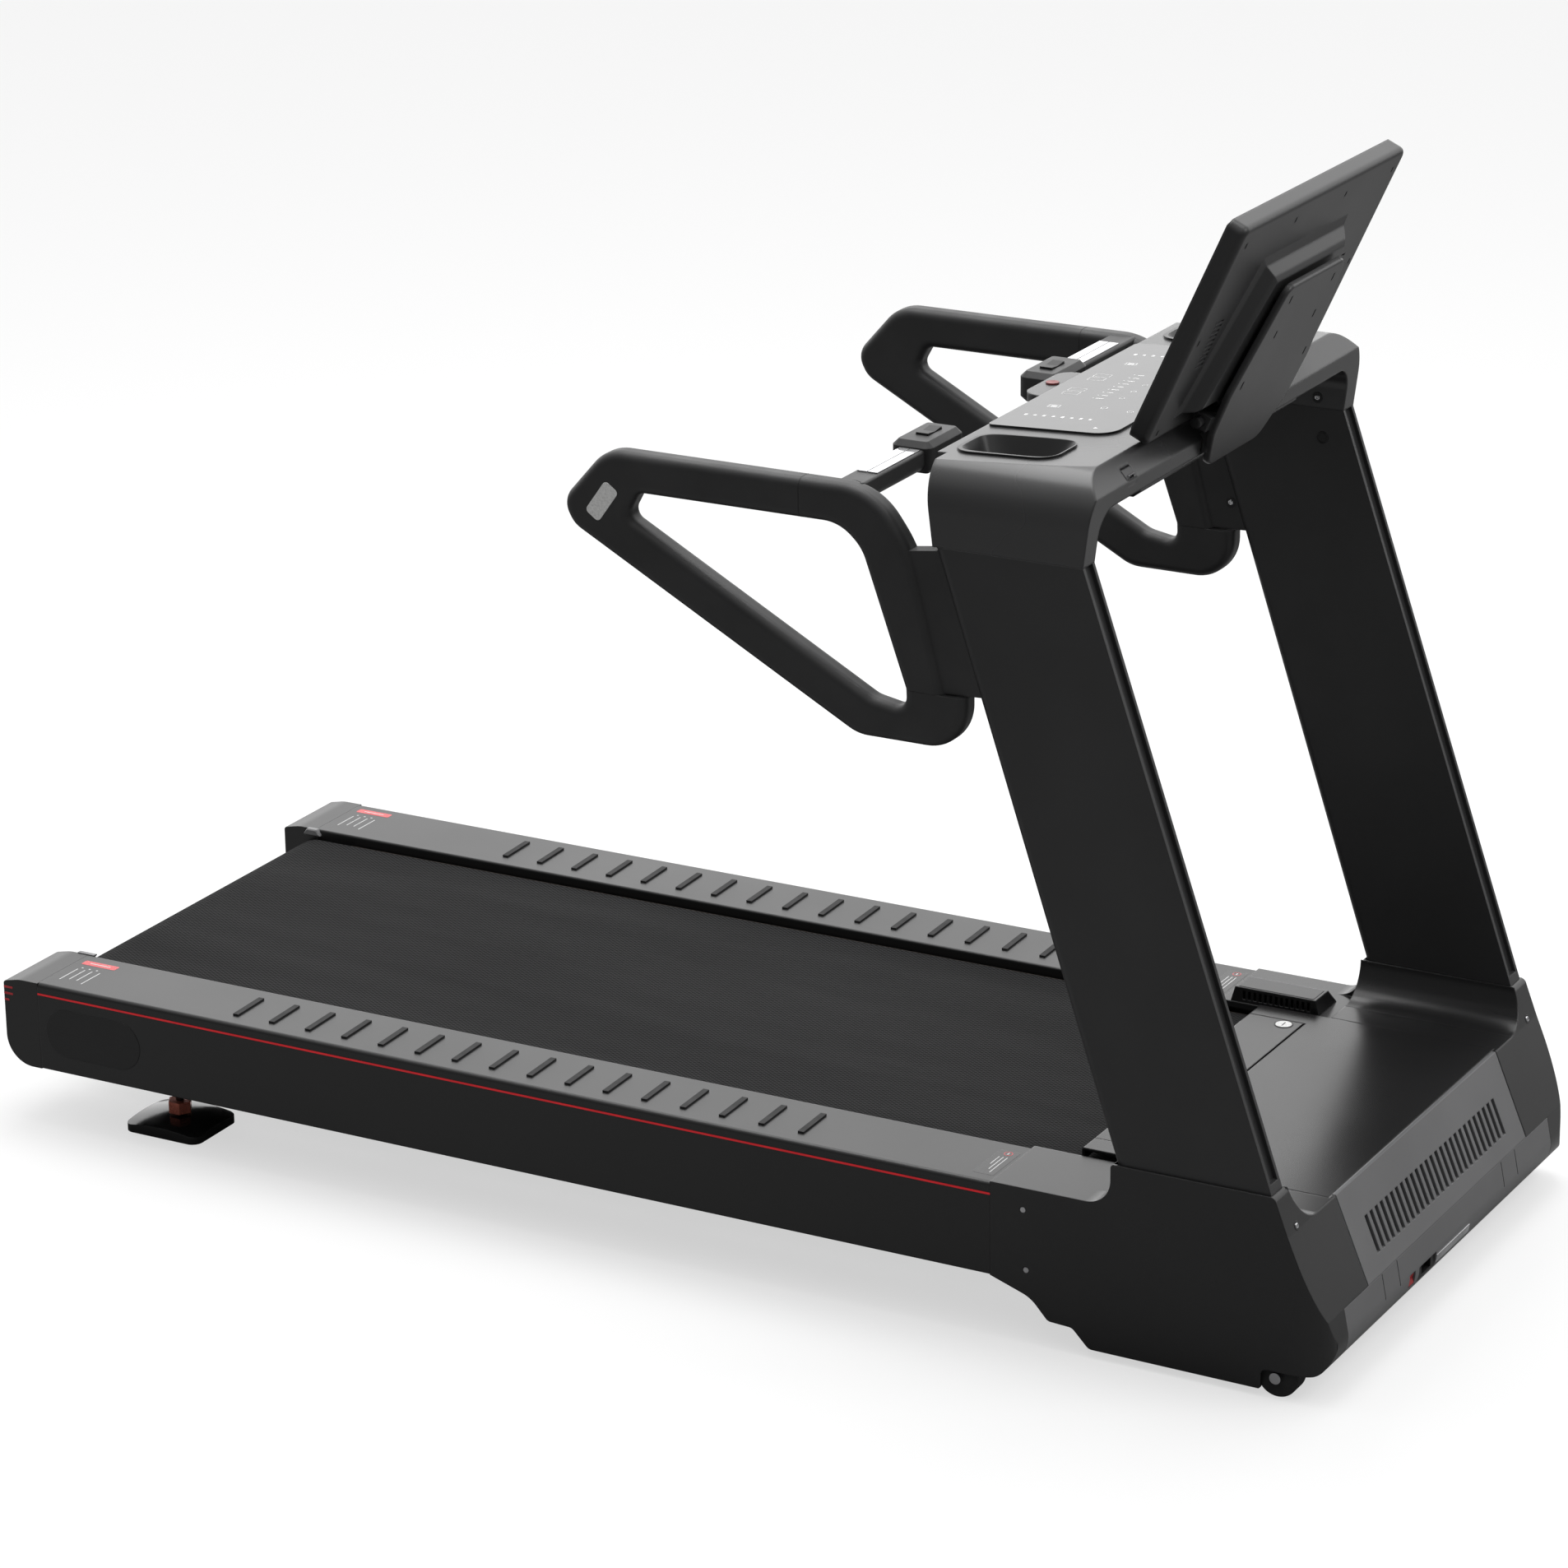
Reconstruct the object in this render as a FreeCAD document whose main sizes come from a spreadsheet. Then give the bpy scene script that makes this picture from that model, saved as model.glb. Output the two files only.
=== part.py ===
"""Motorised treadmill, modelled as separate pieces.

Every length below is measured from the rear end of the foot rails (x), from the centre plane (y, the
runner's left is +) and from the floor (z).  Each finished piece is then shifted back by half the
overall length, so the part's origin is the middle of its base.
"""
import FreeCAD, Part
import math
import os
import Sketcher
from FreeCAD import Placement, Rotation, Vector

doc = FreeCAD.newDocument("treadmill")

# ----------------------------------------------------------------------------------------------
# Driving dimensions (mm and degrees)
# ----------------------------------------------------------------------------------------------
SIZES = {
    # whole machine
    "overall_length": 2120, "half_width": 435,
    # foot rails
    "rail_start": 61, "rail_end": 1629, "rail_top": 226, "rail_base": 91, "rail_inner": 305,
    "rail_wall": 4, "rail_lip": 186, "flange_inner": 395,
    "grip_first": 388, "grip_pitch": 62.1, "grip_length": 70, "grip_width": 9, "grip_rise": 2.5,
    "grip_centre": 370, "light_base": 208, "light_top": 211, "light_depth": 1.5,
    # belt, deck and rollers
    "belt_top": 214, "belt_half": 293, "belt_thick": 2.5, "roller_radius": 50, "roller_gap": 0.3,
    "roller_half": 295, "rear_roller_x": 74, "front_roller_x": 1745, "shaft_radius": 10,
    "shaft_play": 0.05, "deck_start": 130, "deck_end": 1680, "deck_half": 300, "deck_thick": 25,
    # welded frame
    "beam_inner": 328, "beam_outer": 384, "beam_base": 122, "beam_start": 29, "beam_end": 2050,
    "tube_wall": 3, "cross_base": 116, "cross_top": 152, "cross_width": 50, "mount_inner": 314,
    "tray_base": 80, "tray_top": 84, "tray_start": 1870, "hanger_outer": 340,
    "nose_start": 2058, "nose_end": 2094, "nose_base": 66, "nose_top": 106,
    # drive
    "pulley_inner": 297, "pulley_outer": 311, "roller_pulley_radius": 42, "motor_pulley_radius": 22,
    "motor_x": 1905, "motor_z": 150, "motor_radius": 55, "motor_inner": 80, "motor_outer": 250,
    "spindle_radius": 8, "flywheel_radius": 62, "ribbed_thick": 4,
    # incline frame, wheels and lift
    "pivot_x": 1815, "pivot_z": 75, "wheel_x": 2048, "wheel_z": 29.5, "wheel_radius": 29.5,
    "wheel_inner": 398, "wheel_outer": 424, "axle_radius": 6,
    "crank_x": 1825, "crank_z": 145, "crank_half": 5, "lift_x": 2062, "lift_z": 166,
    "arm_inner": 358, "arm_outer": 370, "lift_slack": 6, "ear_inner": 30, "ear_outer": 36,
    # rear feet
    "foot_x": 240, "foot_y": 342, "pad_length": 130, "pad_width": 110, "crown_radius": 325,
    "crown_top": 21, "stud_radius": 6, "stud_top": 150, "nut_base": 24, "nut_top": 42,
    # front covers and hood
    "cover_top": 228, "hood_top": 235, "skin": 4, "sleeve_top": 288,
    "sleeve_inner": 395, "sleeve_rear": 1807, "sleeve_front": 2063, 
    "hood_half": 290, "hood_front": 2057.5, "vent_half": 279, "guard_half": 253,
    "guard_start": 1695, "guard_end": 1780.5, "hood_start": 1783.5, "panel_inner": 281,
    "panel_foot": 2113, "panel_base": 114, "bumper_half": 360, "slot_span": 462, "slot_width": 9,
    # uprights and console
    "post_outer": 431, "post_inner": 397, "post_top": 1101, "post_rear": 1543, "post_front": 1759,
    "post_round": 15, "bow_radius": 70, "console_under": 1168, "console_rear": 1516,
    "desk_crest": 1747, "desk_rear": 1208, "desk_front": 1219, "desk_half": 364,
    "console_front": 1771, "keypad_half": 228, "keypad_rise": 3,
    "cup_near": 265, "cup_far": 361, "cup_start": 1532, "cup_end": 1680, "cup_floor": 1152,
    "cup_waist": 1190, "cup_wall": 3, "cup_lip": 3,
    # display
    "display_x": 1735, "display_z": 1230, "display_lean": 24.87, "display_half": 260,
    "display_height": 333, "display_thick": 30, "case_round": 8, "glass_thick": 3, "bulge_back": 52,
    "hinge_off": 45, "hinge_up": 14, "hinge_radius": 7, "shield_front": 58, "shield_back": 67,
    # side handles
    "grip_inner": 397, "handle_top": 1168, "handle_under": 1113, "handle_base": 826,
    "handle_seam": 1348, "lower_seam": 901, "handle_round": 13,
    "pod_inner": 138, "pod_outer": 240, "pod_top": 1176, "pod_base": 1132,
    "bar_rear": 1392, "bar_front": 1432, "bar_base": 1136, "bar_top": 1166,
}

sheet = doc.addObject("Spreadsheet::Sheet", "Sizes")
for row, (alias, value) in enumerate(SIZES.items(), start=1):
    sheet.set("A%d" % row, alias)
    sheet.set("B%d" % row, str(value))
    sheet.setAlias("B%d" % row, alias)
doc.recompute()


class Size:
    """A length together with the spreadsheet formula that it comes from."""

    def __init__(self, value, formula):
        self.value = value
        self.formula = formula

    def __add__(self, other):
        other = size(other)
        return Size(self.value + other.value, "(%s + %s)" % (self.formula, other.formula))

    def __sub__(self, other):
        other = size(other)
        return Size(self.value - other.value, "(%s - %s)" % (self.formula, other.formula))

    def __mul__(self, factor):
        return Size(self.value * factor, "(%s * %s)" % (self.formula, repr(float(factor))))

    def __truediv__(self, divisor):
        return self * (1.0 / divisor)

    def __neg__(self):
        return Size(-self.value, "(0 - %s)" % self.formula)

    __radd__ = __add__
    __rmul__ = __mul__

    def __rsub__(self, other):
        return -self + other


def size(thing):
    """A Size from a sheet alias, a plain number or another Size."""
    if isinstance(thing, Size):
        return thing
    if isinstance(thing, str):
        return Size(float(sheet.get(thing)), "Sizes." + thing)
    text = repr(float(thing))
    return Size(float(thing), text if thing >= 0 else "(0 - %s)" % repr(-float(thing)))


def number(thing):
    return size(thing).value


def bind(thing, path, length):
    """Tie one property of an object to the sheet."""
    thing.setExpression(path, size(length).formula)


def place(thing, x=0, y=0, z=0):
    """Move an object to a point that follows the sheet."""
    stations[thing.Name] = size(x)
    thing.Placement.Base = Vector(number(x), number(y), number(z))
    bind(thing, "Placement.Base.x", x)
    bind(thing, "Placement.Base.y", y)
    bind(thing, "Placement.Base.z", z)
    return thing


nodes = {}
stations = {}

# ----------------------------------------------------------------------------------------------
# Building blocks
# ----------------------------------------------------------------------------------------------
PLANE_ROLES = {"XY": "XY_Plane", "XZ": "XZ_Plane", "YZ": "YZ_Plane"}


def box(name, x, y, z):
    """A block between pairs of stations along each axis."""
    block = doc.addObject("Part::Box", name)
    for edge, (low, high) in zip(("Length", "Width", "Height"), (x, y, z)):
        setattr(block, edge, number(high) - number(low))
        bind(block, edge, size(high) - low)
    return place(block, x[0], y[0], z[0])


def rod(name, axis, radius, low, high, x=0, y=0, z=0):
    """A round bar along one axis, from low to high, through the point given for the other two."""
    bar = doc.addObject("Part::Cylinder", name)
    bar.Radius = number(radius)
    bind(bar, "Radius", radius)
    bar.Height = number(high) - number(low)
    bind(bar, "Height", size(high) - low)
    turns = {"X": Rotation(Vector(0, 1, 0), 90), "Y": Rotation(Vector(1, 0, 0), -90), "Z": Rotation()}
    bar.Placement = Placement(Vector(), turns[axis])
    start = {"X": (low, y, z), "Y": (x, low, z), "Z": (x, y, low)}[axis]
    return place(bar, *start)


def outline_sketch(body, plane, outline, offset):
    """A closed straight-sided outline on one origin plane of the body, tied to the sheet."""
    sketch = body.newObject("Sketcher::SketchObject", body.Name + "_outline")
    role = PLANE_ROLES[plane]
    sketch.AttachmentSupport = [(f, "") for f in body.Origin.OriginFeatures if f.Role == role]
    sketch.MapMode = "FlatFace"
    sketch.AttachmentOffset = Placement(Vector(0, 0, number(offset)), Rotation())
    sketch.setExpression("AttachmentOffset.Base.z", size(offset).formula)
    corners = [Vector(number(a), number(b), 0) for a, b in outline]
    count = len(corners)
    for i in range(count):
        sketch.addGeometry(Part.LineSegment(corners[i], corners[(i + 1) % count]), False)
    for i in range(count):
        sketch.addConstraint(Sketcher.Constraint("Coincident", i, 2, (i + 1) % count, 1))
    for i, (a, b) in enumerate(outline):
        for kind, coordinate in (("DistanceX", a), ("DistanceY", b)):
            index = sketch.addConstraint(
                Sketcher.Constraint(kind, -1, 1, i, 1, number(coordinate)))
            sketch.setExpression("Constraints[%d]" % index, size(coordinate).formula)
    return sketch


def prism(name, plane, outline, low, high, rounds=()):
    """A body padded from an outline between two stations, with some of its long edges rounded.

    The outline lies in plane XZ, XY or YZ; `rounds` holds (radius, [corner numbers]).
    """
    body = doc.addObject("PartDesign::Body", name)
    offset = -size(high) if plane == "XZ" else size(low)
    sketch = outline_sketch(body, plane, outline, offset)
    pad = body.newObject("PartDesign::Pad", name + "_pad")
    pad.Profile = sketch
    pad.Length = number(high) - number(low)
    bind(pad, "Length", size(high) - low)
    sketch.Visibility = False
    for radius, corners in rounds:
        doc.recompute()
        soften(body, radius, [long_edge(body.Tip.Shape, plane, outline[c]) for c in corners])
    return body


def soften(body, radius, edges):
    """Round the named edges of a body's last feature."""
    last = body.Tip
    fillet = body.newObject("PartDesign::Fillet", body.Name + "_round")
    fillet.Base = (last, edges)
    fillet.Radius = number(radius)
    bind(fillet, "Radius", radius)
    body.Tip = fillet
    return body


def edges_where(body, wanted):
    """The names of the edges whose two end points pass a test."""
    doc.recompute()
    found = []
    for index, edge in enumerate(body.Tip.Shape.Edges, start=1):
        ends = [vertex.Point for vertex in edge.Vertexes]
        if len(ends) == 2 and wanted(*ends):
            found.append("Edge%d" % index)
    return found


def long_edge(shape, plane, corner):
    """The name of the edge that runs square to the plane through an outline's corner."""
    pick = {"XZ": lambda p: (p.x, p.z, p.y), "XY": lambda p: (p.x, p.y, p.z),
            "YZ": lambda p: (p.y, p.z, p.x)}[plane]
    goal = [number(c) for c in corner]
    for index, edge in enumerate(shape.Edges, start=1):
        ends = [pick(v.Point) for v in edge.Vertexes]
        if len(ends) == 2 and all(math.dist(end[:2], goal) < 0.01 for end in ends):
            return "Edge%d" % index
    raise ValueError("no edge of %s at %s" % (plane, goal))


def bevel(body, distance, edges):
    """Chamfer the named edges of a body's last feature."""
    last = body.Tip
    chamfer = body.newObject("PartDesign::Chamfer", body.Name + "_bevel")
    chamfer.Base = (last, edges)
    chamfer.Size = number(distance)
    bind(chamfer, "Size", distance)
    body.Tip = chamfer
    return body


def solid(name, shape):
    """A piece whose shape is worked out here from the sheet's sizes."""
    feature = doc.addObject("Part::Feature", name)
    feature.Shape = shape
    return feature


def loft(name, sections):
    """A straight-sided solid through closed polygons given as lists of points."""
    wires = [Part.makePolygon(points + points[:1]) for points in sections]
    return solid(name, Part.makeLoft(wires, True, True))


def ring(x, y, z, half_x, half_y, squareness):
    """A smooth closed curve at one height: a circle at squareness 2, squarer above that."""
    points = []
    for step in range(32):
        turn = math.tau * step / 32
        across, along = math.cos(turn), math.sin(turn)
        reach = (abs(across) ** squareness + abs(along) ** squareness) ** (-1 / squareness)
        points.append(Vector(x + half_x * reach * across, y + half_y * reach * along, z))
    curve = Part.BSplineCurve()
    curve.interpolate(points, True)
    return Part.Wire(curve.toShape())


def loop_face(first, first_radius, second, second_radius):
    """The face inside a belt line that runs round two circles in the plane y = 0."""
    across = second - first
    heading = math.atan2(across.z, across.x)
    spread = math.acos((first_radius - second_radius) / across.Length)

    def around(centre, radius, angle):
        return centre + Vector(math.cos(angle), 0, math.sin(angle)) * radius

    upper_first = around(first, first_radius, heading + spread)
    upper_second = around(second, second_radius, heading + spread)
    lower_second = around(second, second_radius, heading - spread)
    lower_first = around(first, first_radius, heading - spread)
    edges = [
        Part.makeLine(upper_first, upper_second),
        Part.Arc(upper_second, around(second, second_radius, heading), lower_second).toShape(),
        Part.makeLine(lower_second, lower_first),
        Part.Arc(lower_first, around(first, -first_radius, heading), upper_first).toShape(),
    ]
    return Part.Face(Part.Wire(edges))


def belt_loop(name, first, first_radius, second, second_radius, thick, low, high):
    """A closed belt of one thickness round two pulleys, between two stations across."""
    outer = loop_face(first, first_radius + thick, second, second_radius + thick)
    inner = loop_face(first, first_radius, second, second_radius)
    band = outer.cut(inner).extrude(Vector(0, high - low, 0))
    band.translate(Vector(0, low, 0))
    return solid(name, band)


def tube(name, x, y, z, along):
    """A rectangular steel tube, open at both ends along one axis."""
    spans = dict(zip("XYZ", (x, y, z)))
    inner = []
    for axis, (low, high) in spans.items():
        inset = -size(1) if axis == along else size("tube_wall")
        inner.append((inset + low, size(high) - inset))
    return cut(name, box(name + "_outer", x, y, z), box(name + "_bore", *inner))


def cut(name, base, *tools):
    """The base with the tools taken away."""
    result = doc.addObject("Part::Cut", name)
    result.Base = base
    result.Tool = tools[0] if len(tools) == 1 else group(name + "_tools", *tools)
    return result


def fuse(name, *pieces):
    """One solid from pieces that touch."""
    result = doc.addObject("Part::MultiFuse", name)
    result.Shapes = list(pieces)
    result.Refine = True
    return result


def common(name, *pieces):
    """What the pieces share."""
    result = doc.addObject("Part::MultiCommon", name)
    result.Shapes = list(pieces)
    return result


def group(name, *pieces):
    """Several solids that stay separate."""
    result = doc.addObject("Part::Compound", name)
    result.Links = list(pieces)
    return result


def mirror(name, source):
    """The same piece on the other side of the centre plane."""
    result = doc.addObject("Part::Mirroring", name)
    result.Source = source
    result.Normal = Vector(0, 1, 0)
    return result


def both(name, piece):
    """A piece on the left with its mirror image on the right, as one group."""
    return group(name, piece, mirror(name + "_twin", piece))


def node(name, thing):
    """Record a finished piece: its Label names its file, and its Placement centres the machine."""
    thing.Label = name
    station = stations.get(thing.Name, size(0))
    bind(thing, "Placement.Base.x", station - size("overall_length") / 2)
    nodes[name] = thing


def sided(stem, left):
    """Record a left piece and its mirror image on the right."""
    node(stem + "_left", left)
    right = mirror(stem + "_mirrored", left)
    right.Label = stem + "_right"
    nodes[stem + "_right"] = right


def lean(thing):
    """Stand a piece drawn square (x back, z up) on the display's own leaning axes."""
    thing.Placement = Placement(Vector(), Rotation(Vector(0, 1, 0), number("display_lean")))
    return place(thing, "display_x", 0, "display_z")


# ----------------------------------------------------------------------------------------------
# Welded frame
# ----------------------------------------------------------------------------------------------
CROSS_TUBES = (200, 620, 1040, 1460)
BEAM_TOP = size("rail_top") - "rail_wall"
SHAFT_BORE = size("shaft_radius") + "shaft_play"
STUD_BORE = size("stud_radius") + "shaft_play"
ROLLER_Z = size("belt_top") - "belt_thick" - "roller_gap" - "roller_radius"
LIFT_EAR = (2050, 2076)


def long_beam():
    """The tube under one foot rail, with the threaded hole for the rear foot."""
    beam = tube("beam", ("beam_start", "beam_end"), ("beam_inner", "beam_outer"),
                ("beam_base", BEAM_TOP), "X")
    hole = rod("stud_hole", "Z", STUD_BORE, size("beam_base") - 1, size("beam_base") + 5,
               x="foot_x", y="foot_y")
    return cut("drilled_beam", beam, hole)


def foot_boss():
    """The weld nut that stands inside the beam over the foot's hole."""
    floor = size("beam_base") + "tube_wall"
    boss = rod("boss", "Z", 10.5, floor, floor + 15, x="foot_x", y="foot_y")
    thread = rod("boss_thread", "Z", STUD_BORE, floor - 1, floor + 16, x="foot_x", y="foot_y")
    return cut("foot_boss", boss, thread)


def pivot_bracket():
    """The plate under the beam that carries the incline shaft."""
    plate = box("pivot_plate", (1785, 1845), ("beam_inner", "hanger_outer"), (50, "beam_base"))
    bore = rod("pivot_bore", "Y", SHAFT_BORE, 320, 350, x="pivot_x", z="pivot_z")
    return cut("pivot_bracket", plate, bore)


def lift_bracket():
    """Two ears on the nose tube with the pin that the lift motor hangs on."""
    ear = box("lift_ear", LIFT_EAR, ("ear_inner", "ear_outer"), ("nose_top", 180))
    pin = rod("lift_pin", "Y", "axle_radius", -size("ear_outer"), "ear_outer", x="lift_x",
              z="lift_z")
    return fuse("lift_bracket", ear, mirror("lift_ear_twin", ear), pin)


side_frame = group(
    "side_frame", long_beam(), foot_boss(), pivot_bracket(),
    box("upright_bracket", (1830, 2000), ("beam_outer", "post_inner"), (130, 215)),
    box("tray_hanger", ("tray_start", "beam_end"), ("beam_inner", "hanger_outer"),
        ("tray_top", "beam_base")),
    box("end_plate", ("beam_end", "nose_start"), ("beam_inner", "beam_outer"),
        ("nose_base", BEAM_TOP)))
cross_half = size("cross_width") / 2
cross_tubes = [
    tube("cross_tube_%d" % index, (cross_half * -1 + x, cross_half + x),
         (-size("beam_inner"), "beam_inner"), ("cross_base", "cross_top"), "Y")
    for index, x in enumerate(CROSS_TUBES)]
nose_tube = tube("nose_tube", ("nose_start", "nose_end"), (-size("beam_outer"), "beam_outer"),
                 ("nose_base", "nose_top"), "Y")
motor_tray = box("motor_tray", ("tray_start", "beam_end"), (-size("hanger_outer"), "hanger_outer"),
                 ("tray_base", "tray_top"))
node("main_frame", group("frame", side_frame, mirror("side_frame_twin", side_frame), *cross_tubes,
                         nose_tube, motor_tray, lift_bracket()))


# ----------------------------------------------------------------------------------------------
# Deck, belt and rollers
# ----------------------------------------------------------------------------------------------
DECK_TOP = size("belt_top") - "belt_thick"
DECK_BASE = DECK_TOP - "deck_thick"
CUSHION_Y = 250
CUSHION_RADIUS = 18
MOUNT_HALF = 25
TENSION_Y = 321

node("running_deck", box("deck", ("deck_start", "deck_end"), (-size("deck_half"), "deck_half"),
                         (DECK_BASE, DECK_TOP)))
node("deck_cushions", group("cushions", *[
    rod("cushion_%d_%d" % (index, hand), "Z", CUSHION_RADIUS, "cross_top", DECK_BASE,
        x=x, y=hand * CUSHION_Y)
    for index, x in enumerate(CROSS_TUBES) for hand in (-1, 1)]))

loop_radius = number("roller_radius") + number("roller_gap")
node("running_belt", belt_loop(
    "belt", Vector(number("rear_roller_x"), 0, number(ROLLER_Z)), loop_radius,
    Vector(number("front_roller_x"), 0, number(ROLLER_Z)), loop_radius,
    number("belt_thick"), -number("belt_half"), number("belt_half")))


def roller(name, x):
    """A belt roller on its through shaft."""
    drum = rod(name + "_drum", "Y", "roller_radius", -size("roller_half"), "roller_half",
               x=x, z=ROLLER_Z)
    shaft = rod(name + "_shaft", "Y", "shaft_radius", -size("beam_inner") + 2,
                size("beam_inner") - 2, x=x, z=ROLLER_Z)
    return fuse(name, drum, shaft)


def roller_mount(name, x):
    """The block on the beam's inner face that a roller shaft turns in."""
    block = box(name + "_block", (size(x) - MOUNT_HALF, size(x) + MOUNT_HALF),
                ("mount_inner", "beam_inner"), (130, 182))
    bore = rod(name + "_bore", "Y", SHAFT_BORE, 310, 330, x=x, z=ROLLER_Z)
    return cut(name, block, bore)


node("front_roller", roller("front_roller", "front_roller_x"))
node("rear_roller", roller("rear_roller", "rear_roller_x"))
mounts = group("left_mounts", roller_mount("front_mount", "front_roller_x"),
               roller_mount("rear_mount", "rear_roller_x"))
node("roller_mounts", both("mounts", mounts))

bolt_end = size("rear_roller_x") - MOUNT_HALF
tension_bolt = fuse("tension_bolt",
                    rod("bolt_shank", "X", 4, 12, bolt_end, y=TENSION_Y, z=ROLLER_Z),
                    rod("bolt_head", "X", 7, 5, 12, y=TENSION_Y, z=ROLLER_Z))
node("tension_bolts", both("bolts", tension_bolt))


# ----------------------------------------------------------------------------------------------
# Foot rails
# ----------------------------------------------------------------------------------------------
GRIPS_PER_RAIL = 16
GRIP_SLANT = math.degrees(math.atan2(2.2, 70))
LIGHT_FLOOR = size("half_width") - "light_depth"
RAIL_SKIN = size("half_width") - "rail_wall"
RAIL_SECTION = [
    ("rail_inner", "rail_top"), ("half_width", "rail_top"), ("half_width", "light_top"),
    (LIGHT_FLOOR, "light_top"), (LIGHT_FLOOR, "light_base"), ("half_width", "light_base"),
    ("half_width", "rail_base"), ("flange_inner", "rail_base"),
    ("flange_inner", size("rail_base") + "rail_wall"), (RAIL_SKIN, size("rail_base") + "rail_wall"),
    (RAIL_SKIN, BEAM_TOP), (size("rail_inner") + "rail_wall", BEAM_TOP),
    (size("rail_inner") + "rail_wall", "rail_lip"), ("rail_inner", "rail_lip"),
]
sided("side_rail", prism("rail", "YZ", RAIL_SECTION, "rail_start", "rail_end",
                         rounds=[(6, [1]), (3, [0, 6])]))
node("led_strips", both("lights", box(
    "light", ("rail_start", "rail_end"), (LIGHT_FLOOR, size("half_width") + 0.2),
    ("light_base", "light_top"))))


def grip_strip(index, hand):
    """One slightly slanted rubber strip across the top of a rail."""
    name = "grip_%d_%s" % (index, "left" if hand > 0 else "right")
    strip = box(name, (0, "grip_width"), (0, "grip_length"), (0, "grip_rise"))
    strip.Placement = Placement(Vector(), Rotation(Vector(0, 0, 1), GRIP_SLANT))
    start = size("grip_first") + size("grip_pitch") * index
    near = size("grip_centre") * hand - size("grip_length") / 2
    return place(strip, start, near, "rail_top")


node("grip_strips", group("grips", *[
    grip_strip(index, hand) for index in range(GRIPS_PER_RAIL) for hand in (-1, 1)]))


CAP_DROP = 6
CAP_SLOPE = 28


def rear_cap():
    """The hollow moulding that closes the rear end of one rail."""
    outline = [(0, size("rail_top") - CAP_DROP), (CAP_SLOPE, "rail_top"), ("rail_start", "rail_top"),
               ("rail_start", "rail_base"), (0, "rail_base")]
    shell = prism("cap_shell", "XZ", outline, "rail_inner", "half_width",
                  rounds=[(45, [4]), (5, [0]), (60, [1])])
    wall = size("skin")
    hollow = [(wall, size("rail_top") - wall - CAP_DROP), (CAP_SLOPE, size("rail_top") - wall),
              (size("rail_start") + 1, size("rail_top") - wall),
              (size("rail_start") + 1, size("rail_base") + wall), (wall, size("rail_base") + wall)]
    cavity = prism("cap_cavity", "XZ", hollow, size("rail_inner") + wall, size("half_width") - wall,
                   rounds=[(41, [4])])
    shaft_gap = box("cap_shaft_gap", (size("rear_roller_x") - 28, "rail_start"), (300, 312), (128, 184))
    bolt_gap = rod("cap_bolt_gap", "X", 8.5, -1, 10, y=TENSION_Y, z=ROLLER_Z)
    return cut("rear_cap", cut("cap_hollow", shell, cavity), shaft_gap, bolt_gap)


sided("rear_cap", rear_cap())


# ----------------------------------------------------------------------------------------------
# Drive
# ----------------------------------------------------------------------------------------------
pulley = rod("pulley_disc", "Y", "roller_pulley_radius", -size("pulley_outer"),
             -size("pulley_inner"), x="front_roller_x", z=ROLLER_Z)
pulley_bore = rod("pulley_bore", "Y", SHAFT_BORE, -320, -290, x="front_roller_x", z=ROLLER_Z)
node("roller_pulley", cut("roller_pulley", pulley, pulley_bore))


def motor_part(name, radius, low, high):
    """A round part on the drive motor's axis."""
    return rod(name, "Y", radius, low, high, x="motor_x", z="motor_z")


motor_can = fuse("motor_can",
                 motor_part("motor_case", "motor_radius", -size("motor_outer"), -size("motor_inner")),
                 box("motor_foot", (1875, 1935), (-230, -100), ("tray_top", 115)))
spindle_bore = motor_part("spindle_bore", size("spindle_radius") + "shaft_play",
                          -size("motor_outer") - 1, -size("motor_outer") + 26)
node("drive_motor", cut("drive_motor", motor_can, spindle_bore))
node("motor_rotor", fuse(
    "motor_rotor",
    motor_part("spindle", "spindle_radius", -size("pulley_outer"), -size("motor_outer") + 25),
    motor_part("motor_pulley", "motor_pulley_radius", -size("pulley_outer"), -size("pulley_inner")),
    motor_part("flywheel", "flywheel_radius", -290, -262)))

node("drive_belt", belt_loop(
    "ribbed_belt", Vector(number("front_roller_x"), 0, number(ROLLER_Z)),
    number("roller_pulley_radius") + number("roller_gap"),
    Vector(number("motor_x"), 0, number("motor_z")),
    number("motor_pulley_radius") + number("roller_gap"),
    number("ribbed_thick"), 1 - number("pulley_outer"), -1 - number("pulley_inner")))

controller = box("controller_case", (1870, 2000), (60, 260), ("tray_top", 150))
fin_gaps = [box("fin_gap_%d" % index, (1860, 2010), (72 + 16 * index, 80 + 16 * index), (130, 151))
            for index in range(11)]
node("motor_controller", cut("controller", controller, *fin_gaps))


# ----------------------------------------------------------------------------------------------
# Incline frame, wheels and lift
# ----------------------------------------------------------------------------------------------
ARM_OUTLINE = [(1797, 66), (1797, 84), (1812, 93), (1834, 93), (2052, 45), (2062, 36), (2062, 23),
               (2052, 14), (1808, 57)]
CRANK_OUTLINE = [(1799, 68), (1810, 155), (1818, 161), (1834, 160), (1840, 152), (1833, 66),
                 (1824, 59), (1806, 59)]
CLEVIS_END = 257
YOKE = (200, 212)
AXLE_BORE = size("axle_radius") + "shaft_play"
lift_run = Vector(number("crank_x") - number("lift_x"), 0, number("crank_z") - number("lift_z"))
lift_angle = math.degrees(math.atan2(-lift_run.z, lift_run.x))

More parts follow.
